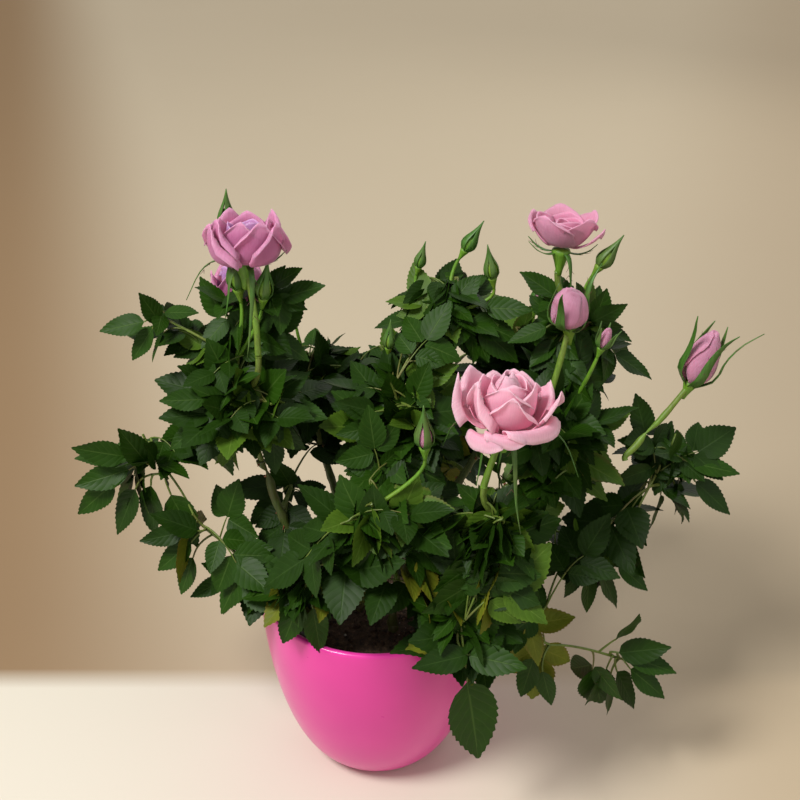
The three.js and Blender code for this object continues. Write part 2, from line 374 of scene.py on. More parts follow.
def leaf_material(name, blade, vein, edge):
    """A satin blade: pale veins in a herringbone, darker between them, and a tint towards the margin."""
    nodes = Nodes(name, Specular_IOR_Level=0.17)
    uv = nodes.add("UVMap").outputs["UV"]
    split = nodes.add("SeparateXYZ", {"Vector": uv})
    across = nodes.off_middle(split.outputs[0])
    slant = nodes.math("SUBTRACT", split.outputs[1], nodes.math("MULTIPLY", across, 0.26))
    wave = nodes.math("ABSOLUTE", nodes.math("SINE", nodes.math("MULTIPLY", slant, math.pi * SIDE_VEINS)))
    side_vein = nodes.math("SUBTRACT", 1.0, nodes.pick(wave, 0.0, 0.22))
    mid_vein = nodes.math("SUBTRACT", 1.0, nodes.pick(across, 0.015, 0.07))
    veins = nodes.math("MAXIMUM", nodes.math("MULTIPLY", side_vein, 0.5), mid_vein)
    mottle = nodes.noise(140, 4, 0.6)
    spray = nodes.noise(28, 2)
    colour = nodes.ramp(mottle, (0.25, scaled(blade, 0.78)), (0.75, scaled(blade, 1.18)))
    colour = nodes.blend(nodes.span(spray, 0.0, 0.45), colour, scaled(blade, 0.5))
    colour = nodes.blend(nodes.pick(across, 0.72, 1.0, 0.35), colour, edge)
    nodes.link(nodes.blend(nodes.math("MULTIPLY", veins, 0.2), colour, vein), "Base Color")
    nodes.link(nodes.span(mottle, 0.42, 0.6), "Roughness")
    height = nodes.math("SUBTRACT", nodes.math("MULTIPLY", wave, 0.8), nodes.math("MULTIPLY", mid_vein, 0.9))
    nodes.bump(height, 0.22, 0.0005)
    return nodes.material


def petal_material(name, face, throat, edge):
    """A velvety petal, deeper at its foot and paler at its rim, with fine veins along it."""
    nodes = Nodes(
        name, Sheen_Weight=0.12, Sheen_Roughness=0.5, Specular_IOR_Level=0.25, Subsurface_Weight=0.5,
        Subsurface_Radius=(0.006, 0.003, 0.0035), Subsurface_Scale=1.0)
    uv = nodes.add("UVMap").outputs["UV"]
    split = nodes.add("SeparateXYZ", {"Vector": uv})
    stretch = nodes.add("Mapping", {"Vector": uv}, Scale=(26, 1.6, 1)).outputs[0]
    streak = nodes.noise(2.2, 3, 0.6, stretch)
    uneven = nodes.math("MULTIPLY", nodes.math("SUBTRACT", streak, 0.5), 0.22)
    length = nodes.math("ADD", split.outputs[1], uneven)
    colour = nodes.ramp(length, (0.05, throat), (0.45, face), (0.78, face), (1.0, edge))
    across = nodes.off_middle(split.outputs[0])
    rim = nodes.math("MULTIPLY", nodes.pick(across, 0.55, 0.95), nodes.pick(split.outputs[1], 0.45, 0.8))
    colour = nodes.blend(nodes.math("MULTIPLY", rim, 0.7), colour, edge)
    veins = nodes.ramp(streak, (0.35, scaled(face, 0.86)), (0.65, scaled(face, 1.08)))
    nodes.link(nodes.blend(0.4, colour, veins), "Base Color")
    nodes.link(nodes.span(streak, 0.5, 0.68), "Roughness")
    nodes.bump(streak, 0.3, 0.0004)
    return nodes.material


def floor_material(near, near_right_shade, far, far_side_shade, line):
    """A pale board that turns to a deeper beige behind the plant, with painted shade that darkens it towards
    its sides and on its near right, and painted light that brightens it further away.
    """
    nodes = Nodes("studio_board")
    split = nodes.add("SeparateXYZ", {"Vector": nodes.place()})
    x, y = split.outputs[0], split.outputs[1]
    behind = nodes.pick(y, line - 0.014, line + 0.003)
    # Painted shadow and shade: the near board darkens towards its right side.
    board = nodes.blend(nodes.pick(x, -0.03, 0.26, kind="SMOOTHSTEP"), near, near_right_shade)
    # Painted shade: the far board darkens towards its left and right sides, by the masks left and right.
    back = nodes.math("MULTIPLY", y, 0.28)
    leftward = nodes.math("SUBTRACT", nodes.math("MULTIPLY", x, -1), back)
    left = nodes.pick(leftward, 0.0, 0.24, kind="SMOOTHSTEP")
    right = nodes.pick(nodes.math("SUBTRACT", x, back), 0.0, 0.3, 0.3, "SMOOTHSTEP")
    # Painted light: the far board grows brighter with distance, against the lamps' fall-off.
    depth = nodes.pick(y, 0.1, 1.9)
    # The painted side shade, brightened with distance like the rest of the far board.
    brown = nodes.blend(depth, far_side_shade, scaled(far_side_shade, 1.7))
    wall = nodes.blend(nodes.math("ADD", left, right), nodes.blend(depth, far, scaled(far, 1.55)), brown)
    grain = nodes.noise(4, 3)
    colour = nodes.blend(behind, board, wall)
    nodes.link(nodes.blend(nodes.span(grain, 0.0, 0.08), colour, scaled(far, 0.8)), "Base Color")
    nodes.link(nodes.span(grain, 0.7, 0.9), "Roughness")
    return nodes.material


# ------------------------------------------------------------------------------------------ settings


def colour_setting(name, about, code):
    return FloatVectorProperty(name=name, description=about, subtype="COLOR", default=tone(code))


def length_setting(name, about, default):
    return FloatProperty(name=name, description=about, default=default, unit="LENGTH")


def power_setting(name, about, default):
    return FloatProperty(name=name, description=about, default=default, unit="POWER")


class PotSettings(bpy.types.PropertyGroup):
    glaze: colour_setting("Glaze", "Colour of the cover pot's glaze", "e0379c")
    wall: length_setting("Wall", "Thickness of the cover pot's wall", 4 * MM)
    ribs: IntProperty(name="Ribs", description="Ribs round the nursery pot's collar", default=60, min=8)
    crumbs: IntProperty(name="Crumbs", description="Loose crumbs on the compost", default=420, min=0)


class FoliageSettings(bpy.types.PropertyGroup):
    seed: IntProperty(name="Seed", description="Start of the branching rule's random numbers", default=7)
    spacing: length_setting("Spacing", "Gap between the tips of neighbouring leaves", 19 * MM)
    low_leaflet: length_setting("Low leaflet", "Length of an end leaflet near the pot", 33 * MM)
    high_leaflet: length_setting("High leaflet", "Length of an end leaflet at the top", 23 * MM)
    blade: colour_setting("Blade", "Colour of a grown leaf", "2b5006")


class FlowerSettings(bpy.types.PropertyGroup):
    pink: colour_setting("Pink", "Colour of the open bloom", "f09cb6")
    rose: colour_setting("Rose", "Colour of the buds and the half open bloom", "d581a0")
    mauve: colour_setting("Mauve", "Colour of the ageing blooms", "ba638d")
    lilac: colour_setting("Lilac", "Colour of the ageing blooms' hearts", "ae74b0")
    petal: length_setting("Petal", "Thickness of a petal", 0.35 * MM)


class StageSettings(bpy.types.PropertyGroup):
    lens: FloatProperty(name="Lens", description="Camera lens in mm", default=54, min=1)
    distance: length_setting("Distance", "From the camera to the plant's middle plane", 0.525)
    height: length_setting("Height", "Of the camera above the floor", 0.553)
    aside: length_setting("Aside", "How far the camera stands to the right", 0.0136)
    pitch: FloatProperty(
        name="Pitch", description="How far the camera looks down", default=math.radians(31.3),
        subtype="ANGLE")
    key: power_setting("Key light", "Power of the main light", 20)
    fill: power_setting("Fill light", "Power of the fill light", 1.5)
    back: power_setting("Back light", "Power of the light behind", 1.8)
    sky: FloatProperty(name="Sky", description="Strength of the light from all round", default=0.46)


class RoseSettings(bpy.types.PropertyGroup):
    pot: PointerProperty(type=PotSettings)
    foliage: PointerProperty(type=FoliageSettings)
    flowers: PointerProperty(type=FlowerSettings)
    stage: PointerProperty(type=StageSettings)


# ---------------------------------------------------------------------------------------- pot pieces


class ROSE_OT_cover_pot(bpy.types.Operator):
    """The glazed cover pot, turned from a profile that runs from the frame's foot radius to its rim and height,
    with a rounded lip and foot
    """

    bl_idname = "rose.cover_pot"
    bl_label = "Cover pot"

    def execute(self, context):
        settings = context.scene.rose.pot
        rim, _, height = BOXES["cover_pot"][1]
        wall, foot = settings.wall, POT_FOOT
        bm = bmesh.new()
        outside = [(pot_radius(z, foot, rim, height), z) for z in heights(1.2 * MM, height - wall / 2, 34)]
        inside = [(r - wall, max(z, wall * 1.6)) for r, z in reversed(outside)]
        lip = [
            (rim - wall / 2 + wall / 2 * math.cos(a), height - wall / 2 + wall / 2 * math.sin(a))
            for a in (math.pi * step / 10 for step in range(1, 10))
        ]
        base = [(0, 1 * MM), (foot - 4 * MM, 1 * MM), (foot - 3 * MM, 0), (foot - 1.5 * MM, 0.1 * MM)]
        turned(bm, [*base, *outside, *lip, *inside, (0, wall * 1.6)], 128)
        glaze = glaze_material(settings.glaze)
        finish_piece("glazed_cover_pot", bm, glaze, ["cover_pot"], closed=True)
        return {"FINISHED"}


def pot_foot_radius():
    """The radius of the cover pot's flat underside, read from its node."""
    mesh = frame["nodes"]["cover_pot"].data
    return max(v.co.to_2d().length for v in mesh.vertices if v.co.z < 0.1 * MM)


def pot_radius(z, foot, rim, height, belly=1.9):
    share = min(1.0, max(0.0, z / height))
    return foot + (rim - foot) * (1 - (1 - share) ** belly) ** (1 / belly)


POT_FOOT = pot_foot_radius()


def in_pot(place, spare):
    """True within the cover pot or its wall, apart from the open mouth above the compost."""
    rim, _, height = BOXES["cover_pot"][1]
    flat = place.to_2d().length
    if place.z > height + spare or flat > pot_radius(place.z, POT_FOOT, rim, height) + spare:
        return False
    return place.z < height - 12 * MM or flat > rim - 14 * MM


def heights(low, high, count):
    """Heights that crowd together near the foot, where the wall turns."""
    return [mix(low, high, (step / (count - 1)) ** 1.7) for step in range(count)]


class ROSE_OT_nursery_pot(bpy.types.Operator):
    """The thin black nursery pot, with a ribbed collar"""

    bl_idname = "rose.nursery_pot"
    bl_label = "Nursery pot"

    def execute(self, context):
        low, high = BOXES["nursery_pot"]
        rim, top, bottom = high[0], high[2], low[2]
        wall, collar, foot = 1.2 * MM, 9 * MM, high[0] * 0.74
        bm = bmesh.new()
        profile = [
            (0, bottom), (foot - 2 * MM, bottom), (foot, bottom + 2 * MM),
            (rim - 3.4 * MM, top - collar - 1 * MM), (rim - 1.6 * MM, top - collar),
            (rim - 1 * MM, top - 2 * MM), (rim, top - 1.2 * MM), (rim, top - 0.4 * MM),
            (rim - 0.6 * MM, top), (rim - wall - 1.4 * MM, top), (rim - wall - 2.2 * MM, top - collar),
            (foot - wall, bottom + 3 * MM), (0, bottom + 2.4 * MM),
        ]
        steps = context.scene.rose.pot.ribs * 4
        turned(bm, profile, steps)
        for vertex in bm.verts:
            if top - collar <= vertex.co.z <= top - 1.9 * MM and vertex.co.to_2d().length > rim - 2.4 * MM:
                angle = math.atan2(vertex.co.y, vertex.co.x)
                rib = 0.45 * MM * smooth(-0.2, 0.6, math.cos(angle * steps / 4))
                vertex.co.xy = vertex.co.xy * (1 + rib / rim)
        finish_piece("ribbed_nursery_pot", bm, liner_material(), ["nursery_pot"], closed=True)
        return {"FINISHED"}


class ROSE_OT_compost(bpy.types.Operator):
    """Uneven compost, with loose crumbs and grains of perlite on it"""

    bl_idname = "rose.compost"
    bl_label = "Compost"

    def execute(self, context):
        rng = random.Random(context.scene.rose.foliage.seed + 1)
        low, high = BOXES["compost"]
        radius, top = high[0], high[2]
        bm = bmesh.new()
        bmesh.ops.create_circle(bm, cap_ends=True, cap_tris=True, segments=48, radius=radius - 0.3 * MM)
        bmesh.ops.subdivide_edges(bm, edges=bm.edges, cuts=5, use_grid_fill=True)
        for vertex in bm.verts:
            vertex.co.z = self.surface(vertex.co, radius, top)
        rim = [edge for edge in bm.edges if edge.is_boundary]
        skirt = bmesh.ops.extrude_edge_only(bm, edges=rim)["geom"]
        for vertex in (item for item in skirt if isinstance(item, bmesh.types.BMVert)):
            vertex.co.z = low[2] + 4 * MM
            vertex.co.xy = vertex.co.xy * 0.78
        bmesh.ops.holes_fill(bm, edges=[edge for edge in bm.edges if edge.is_boundary])
        finish_piece("compost_bed", bm, compost_material(), ["compost"], closed=True)
        crumbs = self.scatter(rng, context.scene.rose.pot.crumbs, radius, top, (0.8, 3.0))
        finish_piece("compost_crumbs", crumbs, compost_material())
        grains = self.scatter(rng, context.scene.rose.pot.crumbs // 9, radius, top, (0.5, 1.3))
        finish_piece("perlite_grains", grains, perlite_material())
        return {"FINISHED"}

    @staticmethod
    def surface(place, radius, top):
        """The height of the compost: lumpy, and lower towards the pot's side."""
        flat = Vector((place.x, place.y, 0))
        lumps = noise.fractal(flat * 90, 1.0, 2.2, 4) * 1.6 * MM
        return top - 1.2 * MM + lumps - 2.2 * MM * smooth(0.72, 1.0, flat.length / radius)

    def scatter(self, rng, count, radius, top, size):
        bm = bmesh.new()
        for _ in range(count):
            angle = rng.uniform(0, math.tau)
            flat = radius * 0.95 * math.sqrt(rng.random())
            at = Vector((flat * math.cos(angle), flat * math.sin(angle), 0))
            at.z = self.surface(at, radius, top) + 0.2 * MM
            grain = mix(size[0], size[1], rng.random() ** 3) * MM
            shape = Matrix.Diagonal((grain, grain * rng.uniform(0.6, 1), grain * rng.uniform(0.4, 0.8), 1))
            turn = Matrix.Rotation(rng.uniform(0, math.tau), 4, any_way(rng))
            matrix = Matrix.Translation(at) @ turn @ shape
            bmesh.ops.create_icosphere(bm, subdivisions=1, radius=1, matrix=matrix)
        return bm


# ----------------------------------------------------------------------------- the branching skeleton


def limb_line(node, gap=6 * MM):
    """The centre line and radius of a CAD limb from foot to tip, as a list of (point, radius)."""
    places = [vertex.co.copy() for vertex in frame["nodes"][node].data.vertices]
    foot = min(places, key=lambda place: place.z)
    tip = max(places, key=lambda place: place.z)
    along = (tip - foot).normalized()
    side = along.cross(UP if abs(along.z) < 0.9 else Vector((0, 1, 0))).normalized()
    ways = (side, along.cross(side))
    reach = (tip - foot).length
    count = max(3, round(reach / gap))
    rings = [[] for _ in range(count)]
    for place in places:
        share = (place - foot).dot(along) / reach
        rings[min(count - 1, max(0, int(share * count)))].append(place)
    line = []
    for ring in (ring for ring in rings if len(ring) > 5):
        spans = [[place.dot(way) for place in ring] for way in ways]
        lengths = [place.dot(along) for place in ring]
        middle = along * (sum(lengths) / len(lengths))
        for way, span in zip(ways, spans):
            middle = middle + way * (max(span) + min(span)) / 2
        line.append((middle, min(max(span) - min(span) for span in spans) / 2))
    thin = sorted(radius for _, radius in line)[len(line) // 2]
    line = [(point, min(radius, thin * 1.25)) for point, radius in line]
    for index in range(1, len(line) - 1):
        middle = (line[index - 1][0] + line[index + 1][0]) / 2
        line[index] = (line[index][0].lerp(middle, 0.6), line[index][1])
    return [(foot_end(places, foot, along), line[0][1]), *line, (foot_end(places, tip, along), line[-1][1])]


def foot_end(places, end, along):
    """The middle of a limb's cut end."""
    ring = [place for place in places if abs((place - end).dot(along)) < 2.5 * MM]
    return sum(ring, Vector()) / len(ring)


class Skeleton:
    """Shoots and twigs that carry on from the canes, one set for each mass of foliage."""

    kept = {}

    def __init__(self, seed):
        self.rng = random.Random(seed)
        self.lines = []  # (mass, list of (point, radius))
        self.reached = []  # (point, radius) that a new shoot may start from
        self.holds = {name: [] for name in MASSES}  # points in each mass that leaves may grow from
        self.walls = {name: self.wall(name) for name in MASSES}
        for node in (*CANES, *BOUGHS):
            line = limb_line(node)
            self.reached += line[len(line) // 2 :]
        self.grow()
        self.spots = [spot for spots in self.holds.values() for spot in spots]

    @staticmethod
    def wall(node):
        mesh = frame["nodes"][node].data
        corners = [vertex.co for vertex in mesh.vertices]
        return BVHTree.FromPolygons(corners, [tuple(face.vertices) for face in mesh.polygons])

    def reach(self, name, start, way):
        """How far a mass goes from a point inside it."""
        hit = self.walls[name].ray_cast(start, way)
        return hit[3] if hit[0] is not None else min(half_of(name))

    def grow(self):
        waiting = set(MASSES) - {"hanging_leaf"}
        while waiting:
            pairs = [
                ((point - centre_of(name)).length + 1.2 * max(0.0, point.z - centre_of(name).z - 20 * MM),
                 name, index)
                for name in sorted(waiting)
                for index, (point, _) in enumerate(self.reached)
            ]
            _, name, index = min(pairs)
            waiting.remove(name)
            self.shoot(name, *self.reached[index])

    def shoot(self, name, start, radius):
        """One main shoot from the nearest limb through a mass, then its side twigs."""
        centre = centre_of(name)
        away = (centre - start).normalized()
        lead = (away * 0.7 + UP * (0.8 if away.z > -0.2 else 0.0)).normalized()
        end = centre + lead * self.reach(name, centre, lead) * 0.62
        bow = start.lerp(centre, 0.55) + UP * 0.16 * (centre - start).length + any_way(self.rng) * 3 * MM
        thick = min(radius, 1.9 * MM) * 0.85
        line = tapered([start, bow, centre, end], 9, thick, 0.75 * MM)
        self.lines.append((name, line))
        self.reached += line[4:]
        self.holds[name] += [point for point, _ in line[4:]]
        size = sum(half_of(name)) / 3
        for _ in range(round(size / (7 * MM))):
            self.twig(name, line)

    def twig(self, name, line):
        start, radius = self.rng.choice(line[3:9])
        way = (any_way(self.rng) + UP * 0.35).normalized()
        reach = self.reach(name, start, way) * 0.62
        if reach < 12 * MM:
            return
        end = start + way * reach
        bow = start.lerp(end, 0.5) + UP * reach * 0.18
        twig = tapered([start, bow, end], 6, radius * 0.75, 0.6 * MM)
        if any(in_pot(point, 1.5 * MM) for point, _ in twig):
            return
        self.lines.append((name, twig))
        self.holds[name] += [point for point, _ in twig[3:]]

    @classmethod
    def grown(cls, seed):
        """The one skeleton of a seed, shared by the leaves and the small buds."""
        if seed not in cls.kept:
            cls.kept[seed] = cls(seed)
        return cls.kept[seed]

    def nearest(self, place):
        return min(self.reached, key=lambda item: (item[0] - place).length + max(0, item[0].z - place.z))

    def inside(self, place, slack):
        """True where a point is in a mass of foliage, or almost."""
        for name, wall in self.walls.items():
            offset = place - centre_of(name)
            if all(abs(gap) < half + slack for gap, half in zip(offset, half_of(name))):
                near, normal, _, distance = wall.find_nearest(place)
                if (place - near).dot(normal) < 0 or distance < slack:
                    return True
        return False

    def tips(self, name, spacing):
        """Points spread over a mass, its furthest tips first, where its leaves are to end."""
        mesh = frame["nodes"][name].data
        centre = centre_of(name)
        places = []
        for face in mesh.polygons:
            corners = [mesh.vertices[index].co for index in face.vertices]
            for _ in range(2 + round(face.area / (18 * MM) ** 2)):
                a, b = sorted((self.rng.random(), self.rng.random()))
                places.append(corners[0] * a + corners[1] * (b - a) + corners[2] * (1 - b))
            places += corners
        places.sort(key=lambda place: -(place - centre).length)
        chosen = []
        for place in places:
            if all((place - other).length > spacing for other in chosen):
                chosen.append(place)
        return [place for place in chosen if not self.buried(name, place)]

    def buried(self, name, place):
        """True for most points on a face that lies against another mass."""
        outward = (place - centre_of(name)).normalized()
        probe = place + outward * 5 * MM
        for other, wall in self.walls.items():
            if other == name or (probe - centre_of(other)).length > half_of(other).length:
                continue
            hit = wall.ray_cast(probe, outward)
            if hit[0] is not None and hit[1].dot(outward) > 0:
                return self.rng.random() < 0.6
        return False


# -------------------------------------------------------------------------------------- leaf shapes


def leaflet_shape(name, wide, arch, fold, wave, twist):
    """A toothed leaflet one unit long on +Y: six strips along it, with two teeth to a strip on each side."""
    bm = bmesh.new()
    grid(bm, 4, 6)
    sides = [edge for edge in bm.edges if all(abs(abs(vertex.co.x) - 1) < 1e-4 for vertex in edge.verts)]
    bmesh.ops.subdivide_edges(bm, edges=sides, cuts=3)
    layer = bm.loops.layers.uv.active
    for face in bm.faces:
        for loop in face.loops:
            loop[layer].uv = (loop.vert.co.x / 2 + 0.5, loop.vert.co.y)
    for vertex in bm.verts:
        share, along = vertex.co.x, vertex.co.y
        step = round(along * 24)
        tooth = step % 2 == 1 and abs(share) > 0.99 and 0 < step < 24
        reach = (along**0.6) * (1 - along) ** 1.08 / 0.336
        half = wide / 2 * reach * (1.06 if tooth else 0.985)
        x = half * share
        y = along + (0.022 if tooth else 0.0)
        z = fold * abs(x) - arch * along * along + wave * abs(share) * math.sin(math.tau * 1.6 * along)
        vertex.co = Matrix.Rotation(twist * along, 3, "Y") @ Vector((x, y, z))
    mesh = bpy.data.meshes.new(name)
    bm.to_mesh(mesh)
    bm.free()
    return mesh


class LeafKit:
    """Grows compound leaves into one bmesh for each leaf colour, with their stalks as lines."""

    KINDS = ("deep", "green", "fresh", "bronze", "young")
    FLAT = 4  # the first leaflet shapes are nearly flat, and leaflets by themselves are drawn from these

    def __init__(self, rng, limit):
        self.rng = rng
        self.limit = limit
        self.blades = {kind: bmesh.new() for kind in self.KINDS}
        self.stalks = []
        self.count = 0
        self.shapes = []
        for index in range(10):
            arch = rng.uniform(0.02, 0.06) if index < self.FLAT else rng.uniform(0.06, 0.17)
            fold, wave, twist = rng.uniform(0.06, 0.24), rng.uniform(0.0, 0.025), rng.uniform(-0.25, 0.25)
            wide = 0.56 + 0.02 * index
            self.shapes.append(leaflet_shape(f"leaflet_{index}", wide, arch, fold, wave, twist))
        self.kept_clear = [BOXES[name] for name in FLOWERS]

    def clear(self, place):
        """False where a leaf would cut the pot's wall or a flower, or leave the model's box."""
        if in_pot(place, 1 * MM):
            return False
        if any(not low <= value <= high for low, value, high in zip(self.limit[0], place, self.limit[1])):
            return False
        for low, high in self.kept_clear:
            if all(a - 1 * MM < value < b + 1 * MM for a, value, b in zip(low, place, high)):
                return False
        return True

    def lone(self, foot, tip, skeleton):
        """One leaflet by itself, facing up and to the front, on a thin stalk from the nearest twig."""
        start = min(skeleton.spots, key=lambda spot: (spot - foot).length)
        # Those on the plant's far right also turn outwards.
        outward = 0.75 if tip.x > 100 * MM else -0.1
        place = facing(tip - foot, Vector((outward, -0.7, 0.7)) + any_way(self.rng) * 0.3, foot)
        length = (tip - foot).length
        slim = Matrix.Diagonal((length * 0.82, length, length, 1))
        self.stamp(self.rng.choice(("deep", "green", "green")), place @ slim, self.FLAT)
        bow = foot - (tip - foot) * 0.3 + UP * 3 * MM
        self.stalks.append(tapered([start, bow, foot], 6, 0.85 * MM, 0.5 * MM))

    def standing_out(self, name, fan, skeleton):
        """Single leaflets that fan out over a mass's edge and droop a little."""
        first, last, count, length = fan
        centre, half = centre_of(name), half_of(name)
        for index in range(count):
            bearing = math.radians(mix(first, last, index / max(1, count - 1)))
            across, rise = math.cos(bearing), math.sin(bearing)
            out = mix(0.2, 0.6, (index * 0.62) % 1)
            foot = centre + Vector((half.x * across * out, -half.y * 0.4, half.z * rise * out))
            way = Vector((across, -0.2, rise - 0.45)).normalized()
            self.lone(foot, foot + way * length * MM * self.rng.uniform(0.9, 1.15), skeleton)

    def hanging_leaf(self, skeleton):
        """The leaf that hangs down the pot's front: its end leaflet, and a pair where it joins its stalk."""
        centre, half = centre_of("hanging_leaf"), half_of("hanging_leaf")
        top = centre + Vector((-half.x * 0.1, half.y * 0.3, half.z * 1.2))
        self.lone(top, centre + Vector((half.x * 0.4, 0, -half.z)), skeleton)
        joint = top + UP * half.z * 0.7
        for side in (-1, 1):
            self.lone(joint, joint + Vector((side * 28, -10, 1)) * MM, skeleton)

    def leaf(self, base, tip, size, kind, up, pairs=2):
        """One compound leaf from a point on a twig to where its end leaflet's tip should be."""
        rng = self.rng
        reach = (tip - base).length
        if reach < 8 * MM:
            return False
        size = min(size, reach * 0.8)
        away = (tip - base).normalized()
        stem_end = tip - (away + UP * 0.12).normalized() * size * 0.96
        bow = base.lerp(stem_end, 0.5) + UP * 0.14 * reach + any_way(rng) * 2 * MM
        stem = [bezier([base, bow, stem_end], step / 6) for step in range(7)]
        blades = [(stem[-1], tip - stem[-1], size, 0.0)]
        stem_length = (stem_end - base).length
        for pair in range(pairs):
            share = 0.86 - 0.34 * pair * min(1.0, size * 0.75 / max(stem_length, 1 * MM) + 0.45)
            if stem_length * share < 3 * MM:
                break
            at = bezier([base, bow, stem_end], share)
            ahead = (bezier([base, bow, stem_end], share + 0.05) - at).normalized()
            length = size * (0.84 - 0.16 * pair) * rng.uniform(0.92, 1.08)
            for side in (-1, 1):
                turn = side * rng.uniform(0.95, 1.25)
                blades.append((at, ahead, length, turn))
        placed = []
        for at, way, length, turn in blades:
            normal = (up - way.normalized() * up.dot(way.normalized())).normalized()
            if turn:
                way = Matrix.Rotation(turn, 3, normal) @ way.normalized()
                way = (way - UP * rng.uniform(-0.05, 0.3)).normalized()
                normal = (normal + any_way(rng) * 0.2).normalized()
                at = at + way * 1.2 * MM
            else:
                way = (way.normalized() - UP * rng.uniform(0.0, 0.16)).normalized()
                normal = (normal + any_way(rng) * 0.15).normalized()
            place = facing(way, normal, at)
            if not all(self.clear(place @ Vector(spot)) for spot in (
                    (0, length * 0.5, 0), (0, length, -length * 0.12), (length * 0.28, length * 0.4, 0),
                    (-length * 0.28, length * 0.4, 0))):
                if not turn:
                    return False
                continue
            placed.append((place, length))
        for place, length in placed:
            self.stamp(kind, place @ Matrix.Scale(length, 4))
        radius = 0.55 * MM if size > 26 * MM else 0.42 * MM
        self.stalks.append([(point, radius * mix(1.25, 0.7, i / 6)) for i, point in enumerate(stem)])
        self.count += 1
        return True

    def stamp(self, kind, place, among=None):
        shape = self.rng.choice(self.shapes[:among]).copy()
        shape.transform(place)
        self.blades[kind].from_mesh(shape)
        bpy.data.meshes.remove(shape)


# A mass whose leaves differ from the rest: how large they are, how many pairs of leaflets they have, the gap
# between them as a share of the usual, and whether (1) or not (0) leaves also fill its inside.
MASS_HABIT = {
    "left_side": {"size": 1.05, "pairs": 2, "spacing": 1.9, "inner": 0},
    "left_wing": {"size": 1.0, "pairs": 1, "spacing": 1.2, "inner": 0},
    "left_rim_spray": {"size": 0.8, "pairs": 1, "spacing": 2.2, "inner": 0},
    "left_low_spray": {"size": 0.9, "pairs": 1, "spacing": 2.2, "inner": 0},
    "left_cane_spray": {"size": 0.6, "pairs": 2, "spacing": 1.3, "inner": 0},
    "front_left_low": {"size": 0.9, "pairs": 2, "spacing": 1.0, "inner": 1},
    "right_hanging": {"size": 0.8, "pairs": 1, "spacing": 3.6, "inner": 0},
    "right_low": {"size": 1.0, "pairs": 2, "spacing": 1.7, "inner": 0},
    "right_side": {"size": 0.9, "pairs": 2, "spacing": 1.5, "inner": 0},
    "right_front_low": {"size": 0.8, "pairs": 1, "spacing": 1.9, "inner": 0},
    "right_top": {"size": 0.9, "pairs": 2, "spacing": 1.1, "inner": 1},
}
PLAIN_HABIT = {"size": 1.0, "pairs": 2, "spacing": 1.0, "inner": 1}

# Masses from which single leaflets stand out: the first and the last bearing round the mass as seen from the
# front (0 right, 90 up, 180 left), how many there are, and their length in mm.
STANDING_OUT = {
    "left_side": (100, 300, 7, 30),
    "left_low_spray": (120, 240, 4, 25),
    "left_rim_spray": (120, 240, 3, 20),
    "left_wing": (100, 220, 3, 20),
    "left_top": (10, 60, 2, 20),
    "left_crown": (120, 200, 4, 20),
    "left_cane_spray": (100, 260, 4, 25),
    "centre_crown": (100, 160, 3, 20),
    "centre_front": (260, 280, 1, 30),
    "front_left_low": (240, 280, 2, 25),
    "right_rear_crown": (310, 390, 4, 25),
    "right_top": (60, 210, 5, 20),
    "right_side": (90, 380, 8, 25),
    "right_low": (240, 340, 4, 25),
    "right_hanging": (240, 440, 7, 25),
    "right_front_low": (250, 290, 2, 25),
}


